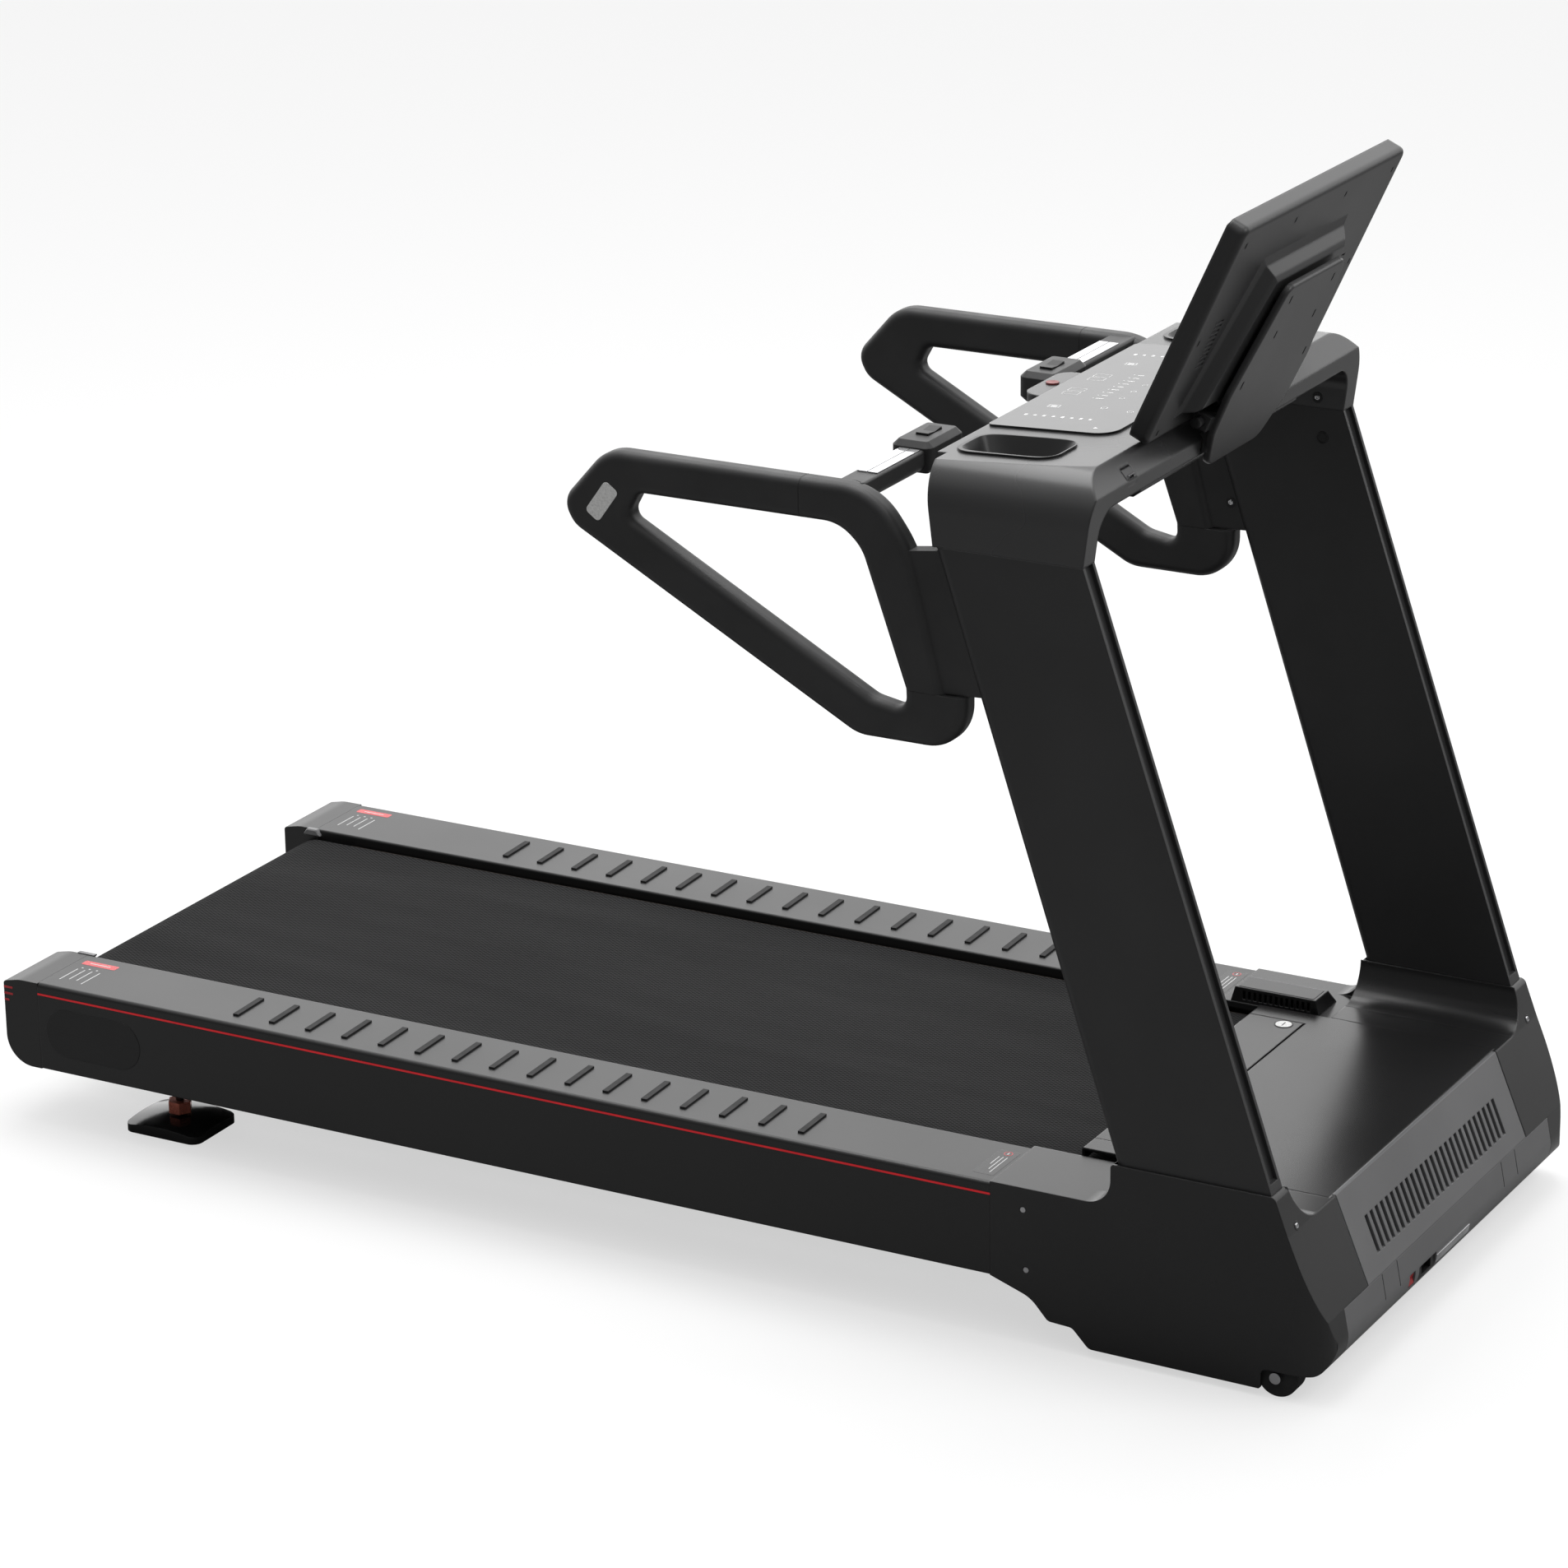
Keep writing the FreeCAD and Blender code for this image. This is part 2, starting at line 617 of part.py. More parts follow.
half_shaft = rod("half_shaft", "Y", "shaft_radius", "crank_half", "arm_inner",
                 x="pivot_x", z="pivot_z")
arm = prism("wheel_arm", "XZ", ARM_OUTLINE, "arm_inner", "arm_outer")
crank = fuse("crank",
             prism("crank_plate", "XZ", CRANK_OUTLINE, -size("crank_half"), "crank_half"),
             rod("crank_pin", "Y", "axle_radius", -24, 24, x="crank_x", z="crank_z"))
node("incline_frame", group("incline", crank, both("half_shafts", half_shaft), both("arms", arm)))


def axle_part(name, radius, low, high):
    """A round part on the left wheel's axle."""
    return rod(name, "Y", radius, low, high, x="wheel_x", z="wheel_z")


wheel_bolt = fuse("wheel_bolt",
                  axle_part("bolt_spacer", 11, "arm_outer", size("wheel_inner") - 0.5),
                  axle_part("bolt_axle", "axle_radius", "arm_outer", size("wheel_outer") + 2),
                  axle_part("bolt_cap", 8, size("wheel_outer") + 0.5, size("wheel_outer") + 10))
node("wheel_bolts", both("wheel_bolt_pair", wheel_bolt))
sided("wheel", cut("wheel",
                   axle_part("wheel_disc", "wheel_radius", "wheel_inner", "wheel_outer"),
                   axle_part("wheel_bore", AXLE_BORE, 390, 430)))


def on_lift(thing):
    """Lay a piece drawn along +x on the line from the lift's pivot to the crank pin."""
    thing.Placement = Placement(Vector(), Rotation(Vector(0, 1, 0), lift_angle))
    return place(thing, "lift_x", 0, "lift_z")


actuator = fuse("actuator_body",
                rod("actuator_eye", "Y", 14, -28, 28),
                box("actuator_neck", (0, 40), (-20, 20), (-13, 13)),
                rod("actuator_tube", "X", 25, 30, 150))
node("lift_actuator", on_lift(cut("lift_actuator", actuator,
                                  rod("actuator_pivot", "Y", AXLE_BORE, -30, 30),
                                  rod("actuator_bore", "X", 12.05, 55, 151))))

pin_distance = lift_run.Length
cheek = cut("clevis_cheek", box("cheek_plate", (YOKE[0], CLEVIS_END), (8, 20), (-18, 18)),
            rod("cheek_hole", "Y", size("axle_radius") + "lift_slack", 0, 30, x=pin_distance))
rod_body = fuse("rod_body", cheek, mirror("cheek_twin", cheek),
                box("clevis_yoke", YOKE, (-20, 20), (-18, 18)),
                rod("push_rod", "X", 12, 95, YOKE[0] + 1))
node("lift_rod", on_lift(rod_body))


# ----------------------------------------------------------------------------------------------
# Rear levelling feet
# ----------------------------------------------------------------------------------------------
def rear_foot():
    """A moulded pad with a crowned top, on the stud that screws into the beam."""
    reach, spread = size("pad_length") / 2, size("pad_width") / 2
    rear, front = size("foot_x") - reach, size("foot_x") + reach
    inner, outer = size("foot_y") - spread, size("foot_y") + spread
    block = prism("pad_block", "XY", [(rear, inner), (front, inner), (front, outer), (rear, outer)],
                  0, "crown_top", rounds=[(16, [0, 1, 2, 3])])
    crown = doc.addObject("Part::Sphere", "pad_crown")
    bind(crown, "Radius", size("crown_radius"))
    place(crown, "foot_x", "foot_y", size("crown_top") - "crown_radius")
    pad = common("crowned_pad", block, crown)
    stud = rod("stud", "Z", "stud_radius", size("crown_top") - 2, "stud_top", x="foot_x", y="foot_y")
    return fuse("rear_foot", pad, stud)


def foot_nut():
    """The hexagonal jam nut on the foot's stud."""
    corners = [(size("foot_x") + 18.5 * math.cos(math.radians(60 * step)),
                size("foot_y") + 18.5 * math.sin(math.radians(60 * step))) for step in range(6)]
    hexagon = prism("nut_hexagon", "XY", corners, "nut_base", "nut_top")
    thread = rod("nut_thread", "Z", STUD_BORE, size("nut_base") - 2, size("nut_top") + 2, x="foot_x",
                 y="foot_y")
    return cut("foot_nut", hexagon, thread)


sided("rear_foot", rear_foot())
sided("foot_nut", foot_nut())


# ----------------------------------------------------------------------------------------------
# Uprights
# ----------------------------------------------------------------------------------------------
POST_OUTLINE = [(1862, 130), (2035, 130), (2037, "sleeve_top"), ("post_front", "post_top"),
                ("post_rear", "post_top")]
POST_HOLLOW = [(1884, 134), (2026, 134), (2026, 286), (1743, 1097), (1563, 1097)]
CHANNEL_DEPTH = 6.3


def rounded_post(name):
    """The outer form of an upright, with its two rear edges rounded."""
    slab = prism(name, "XZ", POST_OUTLINE, "post_inner", "post_outer")
    run = number("post_rear") - 1862
    rise = number("post_top") - 130

    def on_rear(point):
        return abs(point.x - 1862 - run * (point.z - 130) / rise) < 0.5

    return soften(slab, "post_round",
                  edges_where(slab, lambda a, b: on_rear(a) and on_rear(b) and abs(a.z - b.z) > 1))


def upright():
    """A slab-shaped tube, rounded behind, with a shallow channel down its front edge."""
    hollow = prism("post_hollow", "XZ", POST_HOLLOW, size("post_inner") + 3.5,
                   size("post_outer") - 3.5)
    channel = prism("post_channel", "XZ",
                    [(size("post_front") - CHANNEL_DEPTH, "post_top"), (1790, size("post_top") + 1),
                     (2060, 300), (2033 - CHANNEL_DEPTH, 300)],
                    size("post_inner") + 6, size("post_outer") - 6)
    return cut("upright", rounded_post("post"), hollow, channel)


sided("upright", upright())


# ----------------------------------------------------------------------------------------------
# Front covers, hood and nose
# ----------------------------------------------------------------------------------------------
NOSE_CREST = size("overall_length") + 0.54
NOSE_FRONT = [("panel_foot", "panel_base"), (NOSE_CREST, 75), (2117, 55), (2105, 40)]
NOSE_BACK = [(2100, 44), (2111, 57), (2114, 75), (2107.5, "panel_base")]
WHEEL_ARCH = [(2028, 40), (2028, 11)]
NOSE_ROUND = 40
NOSE_CORNER = 48
FIN_OUTLINE = [
    ("rail_end", "cover_top"), ("sleeve_rear", "cover_top"), ("sleeve_rear", "sleeve_top"),
    (2043, "sleeve_top"), ("sleeve_front", "hood_top"), *NOSE_FRONT, *WHEEL_ARCH, (1777, 13),
    (1752, 39), (1716, 41), (1690, 70), ("rail_end", "rail_base"),
]
FIN_ROUNDS = [(36, [1]), (5, [2]), (9, [3]), (NOSE_ROUND, [6, 7]), (16, [8]), (8, [9]), (4, [10]),
              (12, [11, 12]), (10, [13]), (50, [14])]
COVER_CEILING = size("cover_top") - "skin"
SHELF_BASE = size("hood_top") - "skin"
LIP_BASE = size("belt_top") + 4
FIN_HOLLOW = [
    (size("rail_end") - 9, COVER_CEILING), (size("sleeve_rear") + "skin", COVER_CEILING),
    (size("sleeve_rear") + "skin", SHELF_BASE), (2059, SHELF_BASE), *reversed(NOSE_BACK),
    (2100, -20), (size("rail_end") - 9, -20),
]
COVE_RADIUS = 54
COVE_STEP = 0.2
SLEEVE_LIP = 1
PANEL_OUTLINE = [("sleeve_front", "hood_top"), NOSE_FRONT[0], NOSE_BACK[-1],
                 ("hood_front", "hood_top")]
SCREW_POINTS = ((1678, 196), (1683, 109))
SCREW_RADIUS = 4


def cover_cove():
    """The hollow curve from the sleeve's inner face down to the level of the hood."""
    block = prism("cove_block", "XZ",
                  [("sleeve_rear", SHELF_BASE), ("sleeve_rear", "sleeve_top"), (2043, "sleeve_top"),
                   ("sleeve_front", "hood_top"), ("sleeve_front", SHELF_BASE)],
                  size("sleeve_inner") - COVE_RADIUS + SLEEVE_LIP, "sleeve_inner")
    sweep = rod("cove_sweep", "X", COVE_RADIUS, 1790, 2090,
                y=size("sleeve_inner") - COVE_RADIUS - SLEEVE_LIP,
                z=size("hood_top") + COVE_RADIUS + COVE_STEP)
    return cut("cover_cove", block, sweep)


def cover_plan(name, inset):
    """The plan of the left cover, with its outer front corner rounded, as a tall block."""
    front = size("overall_length") - inset
    outer = size("half_width") - inset
    return prism(name, "XY", [(1600, 280), (front, 280), (front, outer), (1600, outer)], -30, 300,
                 rounds=[(size(NOSE_CORNER) - inset, [2])])


def front_cover():
    """The moulding round the foot of one upright, from the end of the rail to the nose."""
    fin = common("rounded_fin", cover_plan("fin_plan", 0),
                 prism("fin", "XZ", FIN_OUTLINE, "sleeve_inner", "half_width", rounds=FIN_ROUNDS))
    hollow = common("rounded_hollow", cover_plan("hollow_plan", "skin"),
                    prism("fin_hollow", "XZ", FIN_HOLLOW, size("sleeve_inner") - 5,
                          size("half_width") - "skin"))
    socket = prism("post_socket", "XZ", POST_OUTLINE, "post_inner", "post_outer")
    sinks = [rod("screw_sink_%d" % index, "Y", SCREW_RADIUS + 0.5, 432, 440, x=x, z=z)
             for index, (x, z) in enumerate(SCREW_POINTS)]
    fin = cut("fin_drilled", cut("fin_shell", fin, fuse("fin_inside", hollow, socket)), *sinks)
    plates = [
        box("platform", ("rail_end", size("sleeve_rear") + "skin"), (301, "sleeve_inner"),
            (COVER_CEILING, "cover_top")),
        box("platform_lip", ("rail_end", size("sleeve_rear") + "skin"), (301, 305),
            (LIP_BASE, COVER_CEILING)),
        box("shelf_step", ("sleeve_rear", size("sleeve_rear") + "skin"),
            (size("hood_half") + 1, "sleeve_inner"), (COVER_CEILING, "hood_top")),
        box("shelf", ("sleeve_rear", size("hood_front") + 4), (size("hood_half") + 1, "sleeve_inner"),
            (SHELF_BASE, "hood_top")),
        prism("corner_panel", "XZ", PANEL_OUTLINE, "panel_inner", "sleeve_inner"),
        prism("nose_wrap", "XZ", NOSE_FRONT + NOSE_BACK, "bumper_half", "sleeve_inner",
              rounds=[(NOSE_ROUND, [1, 2])]),
    ]
    return fuse("front_cover", fin, cover_cove(), *plates)


sided("front_cover", front_cover())
screw = group("screw_pair", *[
    rod("screw_%d" % index, "Y", SCREW_RADIUS, 432, 434.6, x=x, z=z)
    for index, (x, z) in enumerate(SCREW_POINTS)])
node("cover_screws", both("screws", screw))


def motor_hood():
    """The lid over the motor bay, with an arm on each side of the roller guard."""
    lid = box("hood_lid", ("hood_start", "hood_front"), (-size("hood_half"), "hood_half"),
              (SHELF_BASE, "hood_top"))
    arm = prism("hood_arm", "XZ",
                [("guard_start", "hood_top"), ("hood_start", "hood_top"), ("hood_start", SHELF_BASE),
                 (size("guard_start") + "skin", SHELF_BASE), (size("guard_start") + "skin", LIP_BASE),
                 ("guard_start", LIP_BASE)],
                size("guard_half") + 1, "hood_half", rounds=[(3, [0])])
    skirt = box("hood_skirt", ("hood_start", "hood_front"), (size("hood_half") - "skin", "hood_half"),
                (218, SHELF_BASE))
    return fuse("motor_hood", lid, arm, mirror("hood_arm_twin", arm), skirt,
                mirror("hood_skirt_twin", skirt))


node("motor_hood", motor_hood())

guard_plate = prism("guard_plate", "XZ",
                    [("guard_start", "hood_top"), ("guard_end", "hood_top"),
                     ("guard_end", SHELF_BASE), (size("guard_start") + "skin", SHELF_BASE),
                     (size("guard_start") + "skin", LIP_BASE), ("guard_start", LIP_BASE)],
                    -size("guard_half"), "guard_half", rounds=[(3, [0])])
guard_tab = box("guard_tab", (1765, 1800), (140, 180), (SHELF_BASE - 4, SHELF_BASE))
node("roller_guard", fuse("roller_guard", guard_plate, guard_tab, mirror("guard_tab_twin", guard_tab)))


def louvred_block():
    """The tapered housing on the left platform, slotted on the side that faces the belt."""
    base, top = number("cover_top"), 251
    low = [Vector(x, y, base) for x, y in ((1644, 303), (1782, 303), (1782, 368), (1644, 368))]
    high = [Vector(x, y, top) for x, y in ((1651, 303), (1777, 303), (1777, 348), (1651, 348))]
    slots = [box("louvre_%d" % index, (1663 + 8.4 * index, 1667.5 + 8.4 * index), (300, 311),
                 (233, 246)) for index in range(13)]
    return cut("louvred_block", loft("louvre_case", [low, high]), *slots)


node("louvred_block", louvred_block())

VENT_SLOTS = 27
slot_pitch = size("slot_span") / VENT_SLOTS
vent_plate = prism("vent_plate", "XZ", PANEL_OUTLINE, -size("vent_half"), "vent_half")
vent_slots = []
for index in range(VENT_SLOTS):
    left_edge = slot_pitch * (index + 0.5) - size("slot_span") / 2 - size("slot_width") / 2
    vent_slots.append(box("vent_slot_%d" % index, (2040, 2130),
                          (left_edge, left_edge + "slot_width"), (138, 188)))
node("vent_panel", cut("vent_panel", vent_plate, *vent_slots))

GROOVES = (185, 235)
INLET = {"y": (-120, -60), "z": (57, 77)}
SWITCH = {"y": (-153, -133), "z": (58, 78)}
SWITCH_AXIS = (2108, 68)


def front_bumper():
    """The nose strip, grooved in front, with openings for the power inlet and its switch."""
    strip = prism("bumper_strip", "XZ", NOSE_FRONT + NOSE_BACK, -size("bumper_half"), "bumper_half",
                  rounds=[(NOSE_ROUND, [1, 2])])
    grooves = [prism("groove_%s" % str(y).replace("-", "minus_"), "XZ",
                     [(2112, 113), (2117.8, 76), (2125, 76), (2125, 113)], y - 1, y + 1)
               for y in GROOVES + tuple(-y for y in GROOVES)]
    windows = [box("inlet_window", (2090, 2130), INLET["y"], INLET["z"]),
               box("switch_window", (2090, 2130), SWITCH["y"], SWITCH["z"])]
    return cut("front_bumper", strip, *grooves, *windows)


node("front_bumper", front_bumper())


def power_inlet():
    """The mains socket block with its recess and three blades, and the frame of the switch."""
    block = box("inlet_block", (2095, 2117), INLET["y"], INLET["z"])
    recess = box("inlet_recess", (2102, 2118), (-106, -74), (60, 74))
    blades = [box("blade_%d" % index, (2101, 2109), (y, y + 2), (65, 70))
              for index, y in enumerate((-99, -91, -83))]
    back = box("switch_back", (2095, 2099), (-153, -120), (60, 76))
    return fuse("power_inlet", cut("inlet_socket", block, recess), back, *blades)


node("power_inlet", power_inlet())

rocker = prism("switch_rocker", "XZ",
               [(2102, 62), (2118, 61), (2116, 68), (2118, 75), (2102, 74)], -151.5, -134.5)
node("power_switch", fuse("power_switch", rocker, rod("switch_pivot", "Y", 2, -152.5, -133.5,
                                                      x=SWITCH_AXIS[0], z=SWITCH_AXIS[1])))


# ----------------------------------------------------------------------------------------------
# Console
# ----------------------------------------------------------------------------------------------
def desk_point(x):
    """A point of the desk's sloping top line at one station."""
    share = (size(x) - "console_rear").value / (size("desk_crest") - "console_rear").value
    return x, size("desk_rear") + (size("desk_front") - "desk_rear") * share


BRIDGE_PROFILE = [("post_rear", "post_top"), desk_point(1530),
                  ("desk_crest", "desk_front"), ("console_front", 1190), ("post_front", "post_top")]
BRIDGE_HOLLOW = [(1547, 1095), (1534.5, 1204.5), (1745, 1214.5), (1766.5, 1189), (1755, 1095)]
TRAY_PROFILE = [("console_rear", "desk_rear"), (1518, 1196), (1536, "console_under"),
                (1545, "console_under"), desk_point(1545)]
SHELL_WALL = 4


def arch(name, half, inner_half, top, under, foot, low, high, outer_round, inner_round):
    """A portal seen from the front, as a solid from low to high."""
    outline = [(half, foot), (half, top), (-size(half), top), (-size(half), foot),
               (-size(inner_half), foot), (-size(inner_half), under), (inner_half, under),
               (inner_half, foot)]
    return prism(name, "YZ", outline, low, high,
                 rounds=[(outer_round, [1, 2]), (inner_round, [5, 6])])


def desk_block(name, low, high):
    """What lies between two lines that run parallel to the desk top."""
    return prism(name, "XZ",
                 [("console_rear", low[0]), ("desk_crest", low[1]), ("desk_crest", high[1]),
                  ("console_rear", high[0])], -size("desk_half"), "desk_half")


def desk_lift(rise):
    """The heights of the desk's rear edge and crest, raised a little."""
    return size("desk_rear") + rise, size("desk_front") + rise


def cup_prism(name, low, high):
    """The plan of one cup holder with rounded corners."""
    outline = [("cup_start", "cup_near"), ("cup_end", "cup_near"), ("cup_end", "cup_far"),
               ("cup_start", "cup_far")]
    return prism(name, "XY", outline, low, high, rounds=[(30, [0, 1, 2, 3])])


USB = {"x": (1748, 1769), "y": (-324, -298), "z": (1183, 1205)}


def console_bridge():
    """The hollow portal that joins the uprights and carries the desk."""
    outer = common("bridge_outer",
                   arch("bridge_arch", "post_outer", "post_inner", "desk_front", "console_under",
                        "post_top", 1490, 1790, "bow_radius", 36),
                   prism("bridge_profile", "XZ", BRIDGE_PROFILE, -size("post_outer"), "post_outer"))
    wall = SHELL_WALL
    inner = common("bridge_inner",
                   arch("bridge_inner_arch", size("post_outer") - wall, size("post_inner") + wall,
                        size("desk_front") - wall, size("console_under") + wall,
                        size("post_top") - 6, 1490, 1790, size("bow_radius") - wall, 40),
                   prism("bridge_hollow", "XZ", BRIDGE_HOLLOW, -size("post_outer"), "post_outer"))
    tray = prism("tray_lip", "XZ", TRAY_PROFILE, -size("desk_half"), "desk_half")
    shell = fuse("bridge_shell", cut("bridge_hollowed", outer, inner), tray)
    cup_hole = cup_prism("cup_hole", 1140, 1240)
    usb_hole = box("usb_hole", USB["x"], USB["y"], USB["z"])
    return cut("console_bridge", shell, cup_hole, mirror("cup_hole_twin", cup_hole), usb_hole)


node("console_bridge", console_bridge())


def cup_holder():
    """A deep tray with a raised rim and flared sides, let into the desk."""
    x = (number("cup_start") + number("cup_end")) / 2
    y = (number("cup_near") + number("cup_far")) / 2
    half_x = number("cup_end") - x - number("cup_lip") + 1
    half_y = number("cup_far") - y - number("cup_lip") + 1
    flare = Part.makeLoft([ring(x, y, number("cup_floor"), half_x - 20, half_y - 18, 4),
                           ring(x, y, number("cup_waist"), half_x - 17, half_y - 15, 4),
                           ring(x, y, number("desk_front"), half_x, half_y, 5)], True, True)
    case = common("cup_case", cup_prism("cup_outer", size("cup_floor") - "cup_wall", 1240),
                  desk_block("cup_trim", (size("cup_floor") - 20, size("cup_floor") - 20),
                             desk_lift("cup_lip")))
    return cut("cup_holder", case, solid("cup_pocket", flare))


node("cup_holders", both("cups", cup_holder()))

keypad_outline = [(1519, -size("keypad_half")), (1519, "keypad_half"), (1700, "keypad_half"),
                  (1700, -size("keypad_half"))]
keypad_plan = prism("keypad_plan", "XY", keypad_outline, 1190, 1240,
                    rounds=[(30, [2, 3]), (8, [0, 1])])
node("keypad_panel", common("keypad", keypad_plan,
                            desk_block("keypad_band", desk_lift(0), desk_lift("keypad_rise"))))

underside = prism("underside_shell", "XZ",
                  [(1560, "console_under"), (1755, "console_under"), (1752, 1154), (1742, 1146),
                   (1582, 1146), (1566, 1154)], -248, 248)
underside_hollow = box("underside_hollow", (1584, 1738), (-244, 244),
                       (1150, size("console_under") + 1))
node("console_underside", cut("underside", underside, underside_hollow))

usb_block = prism("usb_block", "XZ",
                  [(1748, 1183), (1769, 1183), (1769, 1193), (1761, 1203), (1748, 1203)],
                  *USB["y"])
usb_slot = box("usb_slot", (1758, 1775), (-318, -304), (1190, 1196))
usb_tongue = box("usb_tongue", (1757, 1767), (-316.5, -305.5), (1192, 1194))
node("usb_port", fuse("usb_port", cut("usb_socket", usb_block, usb_slot), usb_tongue))

STOP_KEY = {"x": 1502, "radius": 9, "floor": 1201}
tab = prism("tab_plate", "XY", [(1486, -64), (1486, 64), ("console_rear", 64), ("console_rear", -64)],
            1196, "desk_rear", rounds=[(25, [0, 1])])
stop_pocket = rod("stop_pocket", "Z", STOP_KEY["radius"] + 0.4, STOP_KEY["floor"], 1215,
                  x=STOP_KEY["x"])
node("safety_tab", cut("safety_tab", tab, stop_pocket))
node("stop_key", rod("stop_key", "Z", STOP_KEY["radius"], STOP_KEY["floor"] + 2.5,
                     size("desk_rear") + 2, x=STOP_KEY["x"]))


# ----------------------------------------------------------------------------------------------
# Display, on its own leaning axes: x is the distance behind the glass, z runs up the glass
# ----------------------------------------------------------------------------------------------
LUG_Y = (62, 104)
EAR_Y = (108, 132)
CASE_SCREWS = ((235, 304), (80, 304), (240, 157), (235, 16))
SHIELD_SLOTS = ((68, 200), (62, 144), (100, 74))
SHIELD_OUTLINE = [(-91, 224), (91, 224), (125, 65), (118, 0), (80, -62), (-80, -62), (-118, 0),
                  (-125, 65)]


def display_housing():
    """The case behind the glass, with its raised back and the hinge lugs."""
    half, high, back = number("display_half"), number("display_height"), number("display_thick")

    def on_back(a, b):
        return max(abs(a.x - back), abs(b.x - back)) < 0.01

    case = prism("display_case", "YZ",
                 [(-half, 0), (half, 0), (half, high), (-half, high)], "glass_thick", "display_thick",
                 rounds=[(14, [0, 1, 2, 3])])
    soften(case, "case_round", edges_where(case, on_back))
    bulge = loft("display_bulge", [
        [Vector(x, y, z) for y, z in ((-low, base), (low, base), (high, crest), (-high, crest))]
        for x, low, high, base, crest in (
            (back - 1, 198, 138, 24, 262), (back + 4, 186, 125, 36, 247),
            (number("bulge_back") - 5, 176, 114, 42, 236), (number("bulge_back"), 170, 108, 48, 229))])
    lug = box("hinge_lug", (back - 1, "hinge_off"), LUG_Y, (9, 19))
    barrel = rod("hinge_barrel", "Y", "hinge_radius", -145, 145, x="hinge_off", z="hinge_up")
    vents = [box("back_vent_%d" % index, (back - 3, back + 1), (182, 206),
                 (108 + 7.5 * index, 111.5 + 7.5 * index)) for index in range(10)]
    screws = [box("back_screw_%d" % index, (back - 2, back + 1), (y - 1.8, y + 1.8), (z - 4, z + 4))
              for index, (y, z) in enumerate(CASE_SCREWS)]
    left_cuts = group("back_cuts", *vents, *screws)
    case = cut("vented_case", case, left_cuts, mirror("back_cuts_twin", left_cuts))
    return lean(fuse("display_housing", case, bulge, lug, mirror("hinge_lug_twin", lug), barrel))


def mount_shield():
    """The plate behind the display, its two hinge ears and the neck that holds it."""
    back = number("shield_back")

    def on_back(a, b):
        return max(abs(a.x - back), abs(b.x - back)) < 0.01

    plate = prism("shield_plate", "YZ", SHIELD_OUTLINE, "shield_front", "shield_back",
                  rounds=[(18, [0, 1]), (40, [2, 7]), (30, [3, 4, 5, 6])])
    soften(plate, 4, edges_where(plate, on_back))
    slots = [box("shield_slot_%d_%d" % (index, hand > 0), (back - 3, back + 1),
                 (hand * y - 2, hand * y + 2), (z - 6, z + 6))
             for index, (y, z) in enumerate(SHIELD_SLOTS) for hand in (-1, 1)]
    plate = cut("slotted_plate", plate, *slots)
    ear = cut("hinge_ear", box("ear_block", (36, "shield_front"), EAR_Y, (4, 25)),
              rod("ear_bore", "Y", size("hinge_radius") + "shaft_play", 100, 140, x="hinge_off",
                  z="hinge_up"))
    leaning = lean(fuse("leaning_shield", plate, ear, mirror("ear_twin", ear)))
    neck = prism("neck", "XZ",
                 [(1769.5, 1172), (size("console_front") + 0.3, 1190), (1766.3, 1196.5), (1778, 1204),
                  (1786.5, 1207), (1790, 1206), (1776, 1172)], -100, 100)
    return fuse("mount_shield", leaning, neck)


node("display_housing", display_housing())
node("display_glass", lean(prism("glass", "YZ", [(-252, 8), (252, 8), (252, 325), (-252, 325)],
                                 0, "glass_thick", rounds=[(5, [0, 1, 2, 3])])))
node("mount_shield", mount_shield())


# ----------------------------------------------------------------------------------------------
# Side handles, pulse bars and their controls
# ----------------------------------------------------------------------------------------------
LOOP_OUTLINE = [
    ("handle_seam", "handle_top"), (1052, "handle_top"), (983, 1090), (1000, 1057),
    (1430, "handle_base"), (1592, "handle_base"), (1592, "lower_seam"), (1501, "lower_seam"),
    (1502, 872), (1452, 881), (1084, 1080), (1102, "handle_under"), ("handle_seam", "handle_under"),
]
LOOP_ROUNDS = [(60, [1]), (30, [2]), (40, [3]), (60, [4, 5]), (14, [8]), (40, [9]),
               (14, [10, 11])]
JOINT_OUTLINE = [
    ("handle_seam", "handle_top"), (1455, "handle_top"), (1512, 1090), (1561, "lower_seam"),
    (1501, "lower_seam"), (1437, 1083), (1405, "handle_under"), ("handle_seam", "handle_under"),
]
JOINT_ROUNDS = [(95, [1]), (180, [2]), (62, [5, 6])]
FLANGE_OUTLINE = [(1500, 1089), (1560, 1097), (1622, 905), (1550, 902)]


def tubular(name, outline, rounds):
    """A handle moulding with well rounded rims but square ends at the seams."""
    body = prism(name, "XZ", outline, "grip_inner", "half_width", rounds=rounds)
    seam, lower = number("handle_seam"), number("lower_seam")

    def rim(a, b):
        at_seam = max(abs(a.x - seam), abs(b.x - seam)) < 0.01
        at_lower = max(abs(a.z - lower), abs(b.z - lower)) < 0.01
        return abs(a.y - b.y) < 0.01 and not at_seam and not at_lower

    return soften(body, "handle_round", edges_where(body, rim))


flange = cut("joint_flange", prism("flange_plate", "XZ", FLANGE_OUTLINE, 404, 428),
             rounded_post("flange_saddle"))
sided("handle_joint", fuse("handle_joint", tubular("joint_tube", JOINT_OUTLINE, JOINT_ROUNDS), flange))
sided("grip_loop", tubular("grip_loop", LOOP_OUTLINE, LOOP_ROUNDS))

